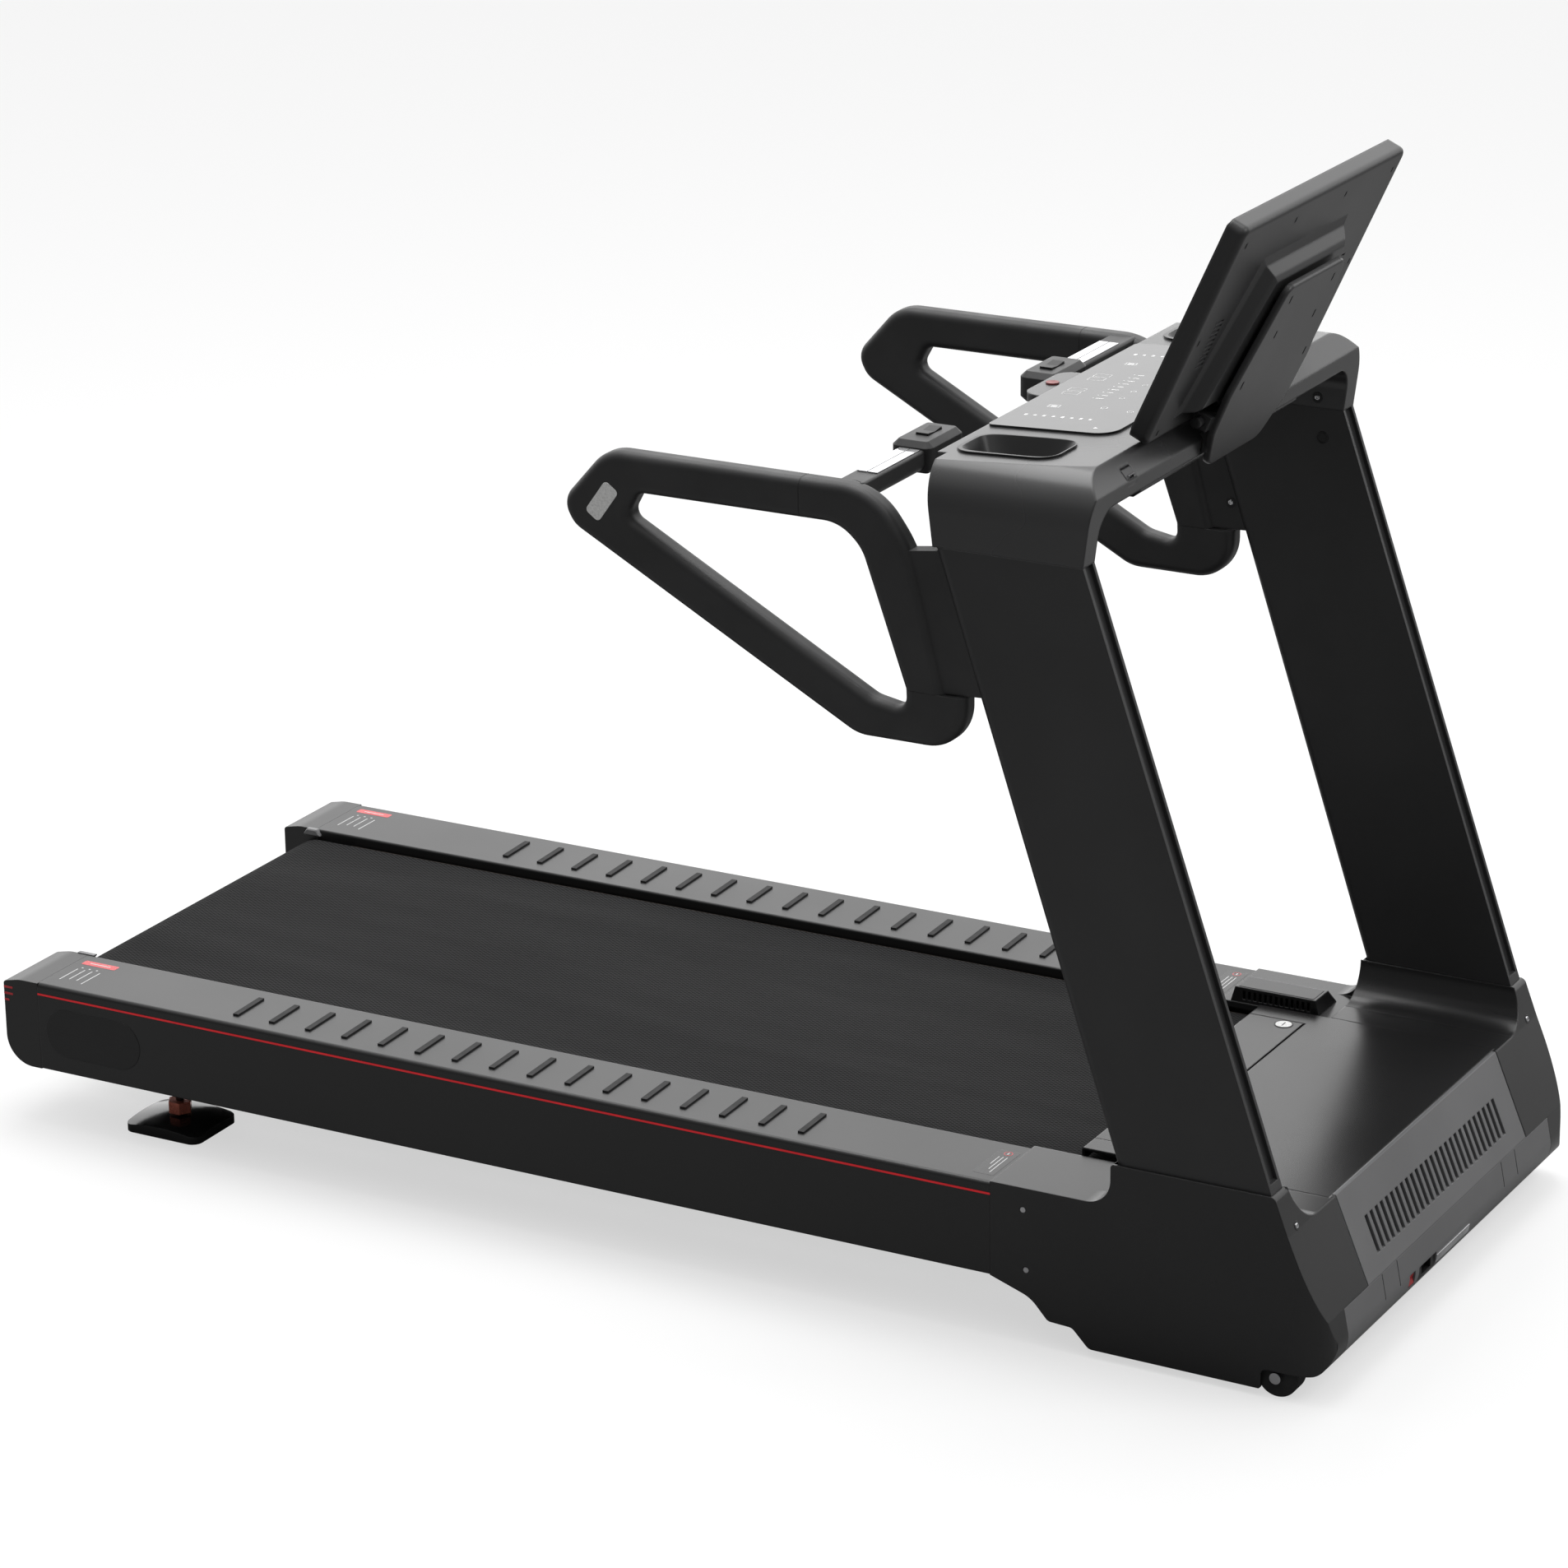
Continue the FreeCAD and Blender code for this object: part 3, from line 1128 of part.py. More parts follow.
bar_outline = [("bar_rear", "bar_base"), ("bar_front", "bar_base"), ("bar_front", "bar_top"),
               ("bar_rear", "bar_top")]
pulse_bar = prism("bar", "XZ", bar_outline, "pod_outer", 410, rounds=[(13, [0, 1]), (4, [2, 3])])
pulse_bar = cut("pulse_bar", pulse_bar, tubular("bar_socket", JOINT_OUTLINE, JOINT_ROUNDS))
plates = [box("pulse_plate_%d" % index, x, (244, 363), ("bar_top", size("bar_top") + 1.6))
          for index, x in enumerate(((1397, 1411.3), (1412.7, 1427)))]
node("pulse_bars", both("bars", pulse_bar))
node("pulse_plates", both("plates", group("plate_pair", *plates)))

KEY_X = (1401, 1419)
KEY_Y = (165, 205)
KEY_FLOOR = 1168
KEY_AXIS_Z = 1173


def control_pod():
    """The moulding on the inner end of a pulse bar, with a pocket for its rocker key."""
    pod = prism("pod", "XY", [(1380, "pod_inner"), (1440, "pod_inner"), (1440, "pod_outer"),
                              (1380, "pod_outer")], "pod_base", "pod_top", rounds=[(12, [0, 1, 2, 3])])
    top, base = number("pod_top"), number("pod_base")

    def flat(a, b):
        return abs(a.z - b.z) < 0.01 and min(abs(a.z - top), abs(a.z - base)) < 0.01

    bevel(pod, 8, edges_where(pod, flat))
    pocket = box("key_pocket", (KEY_X[0] - 1, KEY_X[1] + 1), (KEY_Y[0] - 1, KEY_Y[1] + 1),
                 (KEY_FLOOR, 1180))
    return cut("control_pod", pod, pocket)


def rocker_key(name):
    """A key with a hollowed top that rocks about its middle."""
    low, high = KEY_Y
    middle = (low + high) / 2
    outline = [(low, 1172), (middle, 1169), (high, 1172), (high, 1179), (middle, 1177), (low, 1179)]
    pivot = rod(name + "_pivot", "X", 1.5, KEY_X[0] - 0.8, KEY_X[1] + 0.8, y=middle, z=KEY_AXIS_Z)
    return fuse(name, prism(name + "_cap", "YZ", outline, *KEY_X), pivot)


node("control_pods", both("pods", control_pod()))
node("speed_key", mirror("speed_rocker", rocker_key("speed_blank")))
node("incline_key", rocker_key("incline_rocker"))


# ----------------------------------------------------------------------------------------------
# Check and export
# ----------------------------------------------------------------------------------------------
MAX_NODES = 60


def check():
    """Stop if any object failed or any piece is empty or broken."""
    doc.recompute()
    failed = [thing.Name for thing in doc.Objects if {"Invalid", "Error"} & set(thing.State)]
    broken = [name for name, thing in nodes.items()
              if thing.Shape.isNull() or not thing.Shape.isValid() or not thing.Shape.Solids]
    if failed or broken or len(nodes) > MAX_NODES:
        raise RuntimeError("failed %s, broken %s, %d nodes" % (failed, broken, len(nodes)))


def export():
    """Write each piece to its own STEP file."""
    for name, thing in nodes.items():
        thing.Shape.exportStep(os.path.join("parts", name + ".step"))
        extent = thing.Shape.BoundBox
        print("%-20s %2d solids %9.1f cm3  x %7.1f %7.1f  y %7.1f %7.1f  z %7.1f %7.1f" % (
            name, len(thing.Shape.Solids), thing.Shape.Volume / 1000, extent.XMin, extent.XMax,
            extent.YMin, extent.YMax, extent.ZMin, extent.ZMax))


check()
export()
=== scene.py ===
import math

import bmesh
import bpy
from mathutils import Matrix, Vector


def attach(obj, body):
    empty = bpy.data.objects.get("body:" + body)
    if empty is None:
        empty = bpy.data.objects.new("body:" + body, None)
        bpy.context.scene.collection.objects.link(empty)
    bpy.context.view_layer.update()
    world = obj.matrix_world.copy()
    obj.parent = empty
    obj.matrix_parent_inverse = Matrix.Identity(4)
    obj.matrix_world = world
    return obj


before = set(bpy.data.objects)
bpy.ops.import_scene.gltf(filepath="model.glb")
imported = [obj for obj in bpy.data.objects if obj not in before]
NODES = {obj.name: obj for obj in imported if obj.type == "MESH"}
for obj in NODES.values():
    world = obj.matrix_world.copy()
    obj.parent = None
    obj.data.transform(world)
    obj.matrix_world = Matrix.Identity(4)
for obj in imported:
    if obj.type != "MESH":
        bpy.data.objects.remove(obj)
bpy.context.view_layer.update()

MM = 0.001

# ------------------------------------------------------------------------------------------
# Camera: the photograph's viewing angle on the part
# ------------------------------------------------------------------------------------------
CAMERA_PLACE = Vector((3.6140, -6.4292, 3.1890))
CAMERA_AZIMUTH = math.radians(29.217)
CAMERA_ELEVATION = math.radians(19.614)
CAMERA_ROLL = math.radians(-0.722)
CLIP_END = 100
SENSOR_WIDTH = 36.0
IMAGE_SIDE = 1906
FOCAL_PIXELS = 6661.6
FOCAL_LENGTH = SENSOR_WIDTH * FOCAL_PIXELS / IMAGE_SIDE


def make_camera():
    """A long lens looking slightly down on the right front corner."""
    data = bpy.data.cameras.new("camera")
    data.sensor_width = SENSOR_WIDTH
    data.lens = FOCAL_LENGTH
    data.clip_end = CLIP_END
    camera = bpy.data.objects.new("camera", data)
    bpy.context.scene.collection.objects.link(camera)
    turn = (Matrix.Rotation(CAMERA_AZIMUTH, 4, "Z")
            @ Matrix.Rotation(math.pi / 2 - CAMERA_ELEVATION, 4, "X")
            @ Matrix.Rotation(CAMERA_ROLL, 4, "Z"))
    camera.matrix_world = Matrix.Translation(CAMERA_PLACE) @ turn
    bpy.context.scene.camera = camera


# ------------------------------------------------------------------------------------------
# Studio: bright cyclorama behind, dim side behind the camera, pale floor
# ------------------------------------------------------------------------------------------
BACKDROP_DIRECTION = Vector((-math.sin(CAMERA_AZIMUTH), math.cos(CAMERA_AZIMUTH), 0))
BACK_GLOW = 2.3
FRONT_GLOW = 0.26
SKY_GLOW = 1.3
# cosines from the backdrop's direction between which the glow rises from front to back
GLOW_START, GLOW_END = -0.05, 0.85
# heights on the unit sphere between which the glow turns into the sky's
SKY_START, SKY_END = 0.40, 0.98
# name, place, target, side in metres and power in watts
SOFT_BOXES = (("top_box", (-0.5, 0.8, 5.0), (0.2, 0, 0.5), 3.5, 160),
              ("nose_box", (3.8, 0.6, 3.8), (0.9, 0, 0.3), 2.0, 55))
FLOOR_SIZE = 60.0
FLOOR_DIFFUSE = 0.34
FLOOR_FILL = 0.60
FLOOR_BOUNCE = 0.26


def by_ray(tree, lit, seen, output):
    """Ends a tree with one shader as light for other things and another for the eye."""
    ray = tree.nodes.new("ShaderNodeLightPath")
    blend = tree.nodes.new("ShaderNodeMixShader")
    tree.links.new(ray.outputs["Is Camera Ray"], blend.inputs["Fac"])
    tree.links.new(lit.outputs[0], blend.inputs[1])
    tree.links.new(seen.outputs[0], blend.inputs[2])
    out = tree.nodes.new(output)
    tree.links.new(blend.outputs[0], out.inputs["Surface"])


def make_world():
    """White to the eye; as light, bright behind and above the object and dim in front of it."""
    world = bpy.data.worlds.new("studio")
    bpy.context.scene.world = world
    world.use_nodes = True
    tree = world.node_tree
    tree.nodes.clear()
    link = tree.links.new

    def smooth_step(value, start, end, low, high):
        made = tree.nodes.new("ShaderNodeMapRange")
        made.interpolation_type = "SMOOTHSTEP"
        for key, number in (("From Min", start), ("From Max", end), ("To Min", low), ("To Max", high)):
            made.inputs[key].default_value = number
        link(value, made.inputs["Value"])
        return made.outputs["Result"]

    where = tree.nodes.new("ShaderNodeTexCoord").outputs["Generated"]
    dot = tree.nodes.new("ShaderNodeVectorMath")
    dot.operation = "DOT_PRODUCT"
    link(where, dot.inputs[0])
    dot.inputs[1].default_value = BACKDROP_DIRECTION
    height = tree.nodes.new("ShaderNodeSeparateXYZ")
    link(where, height.inputs[0])
    mix = tree.nodes.new("ShaderNodeMix")
    link(smooth_step(height.outputs["Z"], SKY_START, SKY_END, 0, 1), mix.inputs["Factor"])
    link(smooth_step(dot.outputs["Value"], GLOW_START, GLOW_END, FRONT_GLOW, BACK_GLOW),
         mix.inputs["A"])
    mix.inputs["B"].default_value = SKY_GLOW
    lit = tree.nodes.new("ShaderNodeBackground")
    link(mix.outputs["Result"], lit.inputs["Strength"])
    seen = tree.nodes.new("ShaderNodeBackground")
    seen.inputs["Color"].default_value = (1, 1, 1, 1)
    seen.inputs["Strength"].default_value = 1.0
    by_ray(tree, lit, seen, "ShaderNodeOutputWorld")


def area_light(name, place, target, size, power):
    """A square soft box that faces a point."""
    data = bpy.data.lights.new(name, "AREA")
    data.size = size
    data.energy = power
    light = bpy.data.objects.new(name, data)
    bpy.context.scene.collection.objects.link(light)
    light.location = place
    light.rotation_euler = (Vector(target) - Vector(place)).to_track_quat("-Z", "Y").to_euler()


def make_floor():
    """A plain pale floor with soft shadows, which lights the underside of things only a little."""
    mesh = bpy.data.meshes.new("floor")
    half = FLOOR_SIZE / 2
    mesh.from_pydata([(-half, -half, 0), (half, -half, 0), (half, half, 0), (-half, half, 0)],
                     [], [(0, 1, 2, 3)])
    floor = bpy.data.objects.new("floor", mesh)
    bpy.context.scene.collection.objects.link(floor)
    material = bpy.data.materials.new("studio_floor")
    material.use_nodes = True
    tree = material.node_tree
    tree.nodes.clear()
    pale = tree.nodes.new("ShaderNodeBsdfDiffuse")
    pale.inputs["Color"].default_value = (FLOOR_DIFFUSE, FLOOR_DIFFUSE, FLOOR_DIFFUSE, 1)
    fill = tree.nodes.new("ShaderNodeEmission")
    fill.inputs["Strength"].default_value = FLOOR_FILL
    seen = tree.nodes.new("ShaderNodeAddShader")
    tree.links.new(pale.outputs[0], seen.inputs[0])
    tree.links.new(fill.outputs[0], seen.inputs[1])
    dark = tree.nodes.new("ShaderNodeBsdfDiffuse")
    dark.inputs["Color"].default_value = (FLOOR_BOUNCE, FLOOR_BOUNCE, FLOOR_BOUNCE, 1)
    by_ray(tree, dark, seen, "ShaderNodeOutputMaterial")
    mesh.materials.append(material)


def make_studio():
    """The surroundings, the soft boxes and plain colour management."""
    make_world()
    for box in SOFT_BOXES:
        area_light(*box)
    make_floor()
    bpy.context.scene.view_settings.view_transform = "Standard"
    bpy.context.scene.view_settings.look = "None"


# ------------------------------------------------------------------------------------------
# Materials
# ------------------------------------------------------------------------------------------
BEVEL_SAMPLES = 4
# the colour sockets of a Mix node
MIX_FACTOR, MIX_FIRST, MIX_SECOND, MIX_RESULT = 0, 6, 7, 2
# the middle stretch of a noise's values, where nearly all of them lie
NOISE_LOW, NOISE_HIGH = 0.35, 0.65
# the bevelled normal's agreement with the plain one: on an edge, and on a flat face
EDGE_DOT, FLAT_DOT = 0.75, 0.97


class Surface:
    """A node tree round one Principled shader, with the shared steps as short calls.

    Sizes, radii and depths are in metres."""

    def __init__(self, name, colour, roughness, metallic=0.0, specular=0.5):
        self.material = bpy.data.materials.new(name)
        self.material.use_nodes = True
        self.tree = self.material.node_tree
        self.shader = self.tree.nodes["Principled BSDF"]
        self.shader.inputs["Base Color"].default_value = (*colour, 1)
        self.shader.inputs["Roughness"].default_value = roughness
        self.shader.inputs["Metallic"].default_value = metallic
        self.shader.inputs["Specular IOR Level"].default_value = specular
        self.colour = colour
        self.roughness = roughness
        self.place = self.node("ShaderNodeTexCoord").outputs["Object"]
        self.normal = None
        self.albedo = None

    def node(self, kind, **inputs):
        """A new node with some inputs set; an underscore stands for a space."""
        made = self.tree.nodes.new(kind)
        for key, value in inputs.items():
            made.inputs[key.replace("_", " ")].default_value = value
        return made

    def link(self, source, target):
        self.tree.links.new(source, target)

    def compute(self, operation, *operands):
        """One Math node over numbers and other nodes' values."""
        made = self.node("ShaderNodeMath")
        made.operation = operation
        for socket, operand in zip(made.inputs, operands):
            if isinstance(operand, (int, float)):
                socket.default_value = operand
            else:
                self.link(operand, socket)
        return made.outputs[0]

    def noise(self, size, detail=2.0, stretch=(1, 1, 1)):
        """Noise whose features are about `size` metres across."""
        scaled = self.node("ShaderNodeVectorMath")
        scaled.operation = "MULTIPLY"
        self.link(self.place, scaled.inputs[0])
        scaled.inputs[1].default_value = stretch
        made = self.node("ShaderNodeTexNoise", Scale=1 / size, Detail=detail)
        self.link(scaled.outputs[0], made.inputs["Vector"])
        return made.outputs["Fac"]

    def ramp(self, value, low, high, from_low=NOISE_LOW, from_high=NOISE_HIGH):
        """A value moved from one range to another."""
        made = self.node("ShaderNodeMapRange")
        self.link(value, made.inputs["Value"])
        for key, number in (("From Min", from_low), ("From Max", from_high),
                            ("To Min", low), ("To Max", high)):
            made.inputs[key].default_value = number
        return made.outputs["Result"]

    def rounded(self, radius):
        """Softens the look of sharp edges."""
        made = self.node("ShaderNodeBevel", Radius=radius)
        made.samples = BEVEL_SAMPLES
        self.normal = made.outputs["Normal"]

    def bump(self, height, depth):
        """Adds relief: height 0 to 1 stands for `depth` metres."""
        made = self.node("ShaderNodeBump", Strength=1.0, Distance=depth)
        self.link(height, made.inputs["Height"])
        if self.normal is not None:
            self.link(self.normal, made.inputs["Normal"])
        self.normal = made.outputs["Normal"]

    def vary_roughness(self, size, spread, stretch=(1, 1, 1)):
        """Makes patches that are a little duller and glossier."""
        fac = self.noise(size, 3.0, stretch)
        self.link(self.ramp(fac, self.roughness - spread, self.roughness + spread),
                  self.shader.inputs["Roughness"])

    def paint_over(self, factor, other):
        """Mixes another colour into the colour so far."""
        mix = self.node("ShaderNodeMix")
        mix.data_type = "RGBA"
        self.link(factor, mix.inputs[MIX_FACTOR])
        if self.albedo is None:
            mix.inputs[MIX_FIRST].default_value = (*self.colour, 1)
        else:
            self.link(self.albedo, mix.inputs[MIX_FIRST])
        mix.inputs[MIX_SECOND].default_value = (*other, 1)
        self.albedo = mix.outputs[MIX_RESULT]

    def vary_colour(self, other, size=None, fac=None, low=NOISE_LOW, high=NOISE_HIGH):
        """Mottles the colour with another, by noise of a size or by a value of its own."""
        if fac is None:
            fac = self.noise(size, 4.0)
        self.paint_over(self.ramp(fac, 0, 1, low, high), other)

    def wear(self, radius, worn, amount):
        """Lightens the colour in a narrow band along edges."""
        bevel = self.node("ShaderNodeBevel", Radius=radius)
        bevel.samples = BEVEL_SAMPLES
        plain = self.node("ShaderNodeNewGeometry").outputs["Normal"]
        dot = self.node("ShaderNodeVectorMath")
        dot.operation = "DOT_PRODUCT"
        self.link(bevel.outputs["Normal"], dot.inputs[0])
        self.link(plain, dot.inputs[1])
        self.paint_over(self.ramp(dot.outputs["Value"], amount, 0.0, EDGE_DOT, FLAT_DOT), worn)

    def done(self):
        """Links the relief and the colour and hands over the material."""
        if self.normal is not None:
            self.link(self.normal, self.shader.inputs["Normal"])
        if self.albedo is not None:
            self.link(self.albedo, self.shader.inputs["Base Color"])
        return self.material


COOLNESS = 1.02


def grey(level):
    """A very slightly cool grey."""
    return (level, level, level * COOLNESS)


def moulded(name, level, roughness, grain=0.0006, depth=0.00001, rounding=0.0015, specular=0.4):
    """Spark-eroded black plastic: fine pebble grain, slight shade and gloss variation."""
    surface = Surface(name, grey(level), roughness, specular=specular)
    surface.rounded(rounding)
    surface.bump(surface.noise(grain), depth)
    surface.vary_roughness(size=0.25, spread=0.02)
    surface.vary_colour(grey(level * 1.15), size=0.2)
    surface.wear(radius=0.001, worn=grey(level * 2 + 0.01), amount=0.25)
    return surface.done()


def powder_coat(name, level, roughness):
    """Painted steel with a light orange-peel texture."""
    surface = Surface(name, grey(level), roughness, specular=0.4)
    surface.rounded(radius=0.0015)
    surface.bump(surface.noise(size=0.0022, detail=1.0), depth=0.00003)
    surface.bump(surface.noise(size=0.0005, detail=1.0), depth=0.00001)
    surface.vary_roughness(size=0.08, spread=0.03)
    surface.vary_colour(grey(level * 1.2), size=0.2)
    surface.wear(radius=0.001, worn=grey(level * 4 + 0.02), amount=0.3)
    return surface.done()


def rubber(name, level):
    """Matt rubber with a dusty, uneven surface."""
    surface = Surface(name, grey(level), 0.75, specular=0.3)
    surface.rounded(radius=0.0008)
    surface.bump(surface.noise(size=0.0009, detail=3.0), depth=0.00006)
    surface.vary_colour(grey(level * 1.6), size=0.02)
    return surface.done()


def belt_weave():
    """Running belt: a fine embossed diamond pattern, dull, with faint lengthwise scuffs."""
    pitch, slope, relief = 0.006, 0.6, 0.00035
    surface = Surface("belt_weave", grey(0.038), 0.85, specular=0.06)
    split = surface.node("ShaderNodeSeparateXYZ")
    surface.link(surface.place, split.inputs[0])

    def wave(slant):
        """Ridges a pitch apart that cross the belt at a slant, from 0 to 1."""
        across = surface.compute("MULTIPLY_ADD", split.outputs["X"], slant, split.outputs["Y"])
        sine = surface.compute("SINE", surface.compute("MULTIPLY", across, math.pi / pitch))
        return surface.compute("ABSOLUTE", sine)

    cells = surface.compute("MINIMUM", wave(slope), wave(-slope))
    scuffs = surface.noise(size=0.09, detail=4.0, stretch=(0.15, 1, 1))
    surface.bump(cells, depth=relief)
    surface.bump(surface.noise(size=0.0007, detail=2.0), depth=0.00004)
    surface.vary_colour(grey(0.046), fac=scuffs)
    surface.vary_colour(grey(0.010), fac=cells, low=0.0, high=0.55)
    surface.vary_roughness(size=0.12, spread=0.06, stretch=(0.2, 1, 1))
    return surface.done()


def turned_steel(name, level, roughness, axis):
    """Bare steel with fine turning marks round one axis."""
    surface = Surface(name, grey(level), roughness, metallic=1.0)
    surface.rounded(radius=0.0006)
    stretch = tuple(1.0 if letter == axis else 0.05 for letter in "XYZ")
    surface.bump(surface.noise(size=0.0008, detail=2.0, stretch=stretch), depth=0.00002)
    surface.vary_roughness(size=0.01, spread=0.08, stretch=stretch)
    surface.vary_colour(grey(level * 0.75), size=0.05)
    return surface.done()


def chrome(name):
    """Polished plating with very fine haze."""
    surface = Surface(name, grey(0.75), 0.12, metallic=1.0)
    surface.rounded(radius=0.0006)
    surface.vary_roughness(size=0.01, spread=0.05)
    surface.vary_colour(grey(0.6), size=0.02)
    return surface.done()


def gloss(name, level, roughness=0.12, specular=0.5):
    """Shiny black plastic with faint waviness."""
    surface = Surface(name, grey(level), roughness, specular=specular)
    surface.rounded(radius=0.001)
    surface.bump(surface.noise(size=0.03, detail=1.0), depth=0.00004)
    surface.vary_roughness(size=0.03, spread=0.04)
    surface.vary_colour(grey(level * 1.3), size=0.1)
    return surface.done()


def soft_touch(name, level):
    """Soft black rubberised moulding."""
    surface = Surface(name, grey(level), 0.46, specular=0.4)
    surface.rounded(radius=0.002)
    surface.bump(surface.noise(size=0.0005, detail=2.0), depth=0.00002)
    surface.vary_roughness(size=0.06, spread=0.05)
    surface.vary_colour(grey(level * 1.3), size=0.08)
    surface.wear(radius=0.002, worn=grey(level * 3), amount=0.3)
    return surface.done()


def coloured(name, colour, roughness, metallic=0.0):
    """A small coloured part with slight mottling."""
    surface = Surface(name, colour, roughness, metallic=metallic)
    surface.rounded(radius=0.0008)
    surface.bump(surface.noise(size=0.001, detail=2.0), depth=0.00003)
    surface.vary_roughness(size=0.01, spread=0.05)
    surface.vary_colour([0.7 * part for part in colour], size=0.01)
    return surface.done()


def lit_red():
    """The translucent red light line, faintly aglow and a little uneven along its length."""
    surface = Surface("light_red", (0.55, 0.01, 0.015), 0.3)
    surface.bump(surface.noise(size=0.002, detail=2.0), depth=0.00002)
    along = surface.noise(size=0.03, detail=2.0, stretch=(1, 0.1, 0.1))
    surface.vary_colour((0.42, 0.005, 0.01), fac=along)
    surface.shader.inputs["Emission Color"].default_value = (0.8, 0.01, 0.02, 1)
    surface.shader.inputs["Emission Strength"].default_value = 0.22
    return surface.done()


def deck_board():
    """Phenolic-faced board: dark brown with fine lengthwise fibres."""
    surface = Surface("deck_board", (0.018, 0.014, 0.011), 0.45)
    surface.rounded(radius=0.001)
    fibre = surface.noise(size=0.002, detail=4.0, stretch=(0.05, 1, 1))
    surface.bump(fibre, depth=0.00005)
    surface.vary_colour((0.035, 0.026, 0.02), fac=fibre)
    return surface.done()


def cast_alloy():
    """Grey die-cast aluminium."""
    surface = Surface("cast_alloy", grey(0.07), 0.5, metallic=0.6)
    surface.rounded(radius=0.001)
    surface.bump(surface.noise(size=0.001, detail=3.0), depth=0.00005)
    surface.vary_roughness(size=0.02, spread=0.08)
    surface.vary_colour(grey(0.05), size=0.03)
    return surface.done()


def printed(name, colour, roughness=0.35):
    """Ink or vinyl on a panel: slightly uneven cover and sheen."""
    surface = Surface(name, colour, roughness)
    surface.bump(surface.noise(size=0.0008, detail=2.0), depth=0.00001)
    surface.vary_roughness(size=0.004, spread=0.08)
    surface.vary_colour([0.8 * part for part in colour], size=0.003)
    return surface.done()


COPPER = (0.75, 0.22, 0.15)


def make_materials():
    """The finish of each CAD node; a finish's first numbers are its grey level and roughness."""
    cover = moulded("cover_satin", 0.012, 0.25, depth=0.000003, rounding=0.003, specular=0.45)
    # vent panel and front bumper: a grey ten times lighter than the cover's black, partly their own
    # dark grey plastic and partly painted light for the light their forward and upward faces catch
    nose_grey_and_painted_light = moulded("nose_satin_grey_and_painted_light", 0.12, 0.36, rounding=0.002)
    rail = moulded("rail_satin", 0.008, 0.32, rounding=0.0025, specular=0.5)
    console = moulded("console_satin", 0.030, 0.28, rounding=0.005, specular=0.55)
    post = powder_coat("upright_coat", 0.024, 0.40)
    frame_coat = powder_coat("frame_coat", 0.02, 0.45)
    grip = soft_touch("grip_soft", 0.019)
    steel = turned_steel("roller_steel", 0.5, 0.3, "Y")
    bolt = turned_steel("bolt_steel", 0.55, 0.25, "Y")
    shiny = gloss("gloss_black", 0.008)
    dark = moulded("socket_black", 0.008, 0.5)
    tyre = rubber("rubber_black", 0.02)
    return {
        "main_frame": frame_coat, "roller_mounts": frame_coat, "incline_frame": frame_coat,
        "lift_rod": steel, "running_deck": deck_board(), "deck_cushions": tyre,
        "running_belt": belt_weave(), "drive_belt": rubber("ribbed_rubber", 0.015),
        "front_roller": steel, "rear_roller": steel, "roller_pulley": steel, "motor_rotor": steel,
        "tension_bolts": bolt, "wheel_bolts": bolt, "cover_screws": bolt,
        "side_rail_left": rail, "side_rail_right": rail, "rear_cap_left": rail,
        "rear_cap_right": rail, "grip_strips": rubber("grip_rubber", 0.018),
        "led_strips": lit_red(),
        "front_cover_left": cover, "front_cover_right": cover, "motor_hood": cover,
        # the vent panel and the bumper take the lighter grey that carries painted light
        "roller_guard": cover, "louvred_block": cover, "vent_panel": nose_grey_and_painted_light, "front_bumper": nose_grey_and_painted_light,
        "power_inlet": dark, "usb_port": moulded("port_grey", 0.05, 0.35),
        "cup_holders": moulded("cup_satin", 0.012, 0.3),
        "power_switch": coloured("switch_red", (0.4, 0.01, 0.015), 0.3),
        "drive_motor": powder_coat("motor_coat", 0.02, 0.35),
        "lift_actuator": powder_coat("lift_coat", 0.03, 0.35),
        "motor_controller": cast_alloy(),
        "wheel_left": rubber("wheel_rubber", 0.02), "wheel_right": rubber("wheel_rubber_right", 0.02),
        "rear_foot_left": shiny, "rear_foot_right": shiny,
        "foot_nut_left": coloured("copper_nut", COPPER, 0.25, metallic=0.6),
        "foot_nut_right": coloured("copper_nut_right", COPPER, 0.25, metallic=0.6),
        "upright_left": post, "upright_right": post,
        "console_bridge": console, "console_underside": console, "safety_tab": console,
        "stop_key": coloured("stop_red", (0.22, 0.03, 0.03), 0.4),
        "keypad_panel": gloss("keypad_gloss", 0.012, 0.1, specular=0.7),
        "display_housing": moulded("display_satin", 0.020, 0.32, rounding=0.005, specular=0.4),
        "display_glass": gloss("screen_glass", 0.003, 0.04, specular=0.6),
        "mount_shield": moulded("shield_satin", 0.028, 0.32, rounding=0.003, specular=0.4),
        "grip_loop_left": grip, "grip_loop_right": grip,
        "handle_joint_left": grip, "handle_joint_right": grip,
        "pulse_bars": grip, "control_pods": grip, "pulse_plates": chrome("pulse_chrome"),
        "speed_key": dark, "incline_key": dark,
    }


def dress(materials):
    """Give every CAD node its material."""
    for name, thing in NODES.items():
        thing.data.materials.clear()
        thing.data.materials.append(materials[name])


# ------------------------------------------------------------------------------------------
# Small fittings, prints and badges.  Sizes are in millimetres: x from the rear end, y from the
# centre plane, z from the floor
# ------------------------------------------------------------------------------------------
HALF_LENGTH = 1060
# the planes the fittings lie on: the rails' outer sides, middle lines and tops, and the handles
RAIL_SIDE, RAIL_MIDDLE, RAIL_TOP = 435, 371, 226
HANDLE_MIDDLE = 416
FORWARD, SIDEWAYS, UP = (1, 0, 0), (0, 1, 0), (0, 0, 1)
SEGMENTS = 32
SIXTH_TURN = math.pi / 3
# how far vinyl and ink stand off what they are printed on, and how wide their bevels are
VINYL, VINYL_BEVEL = 0.15, 0.05
INK, INK_BEVEL = 0.12, 0.04
SCREW_RADIUS, SCREW_RISE = 4.0, 1.6


def at(x, y, z):
    """A point of the machine in metres."""
    return Vector((x - HALF_LENGTH, y, z)) * MM


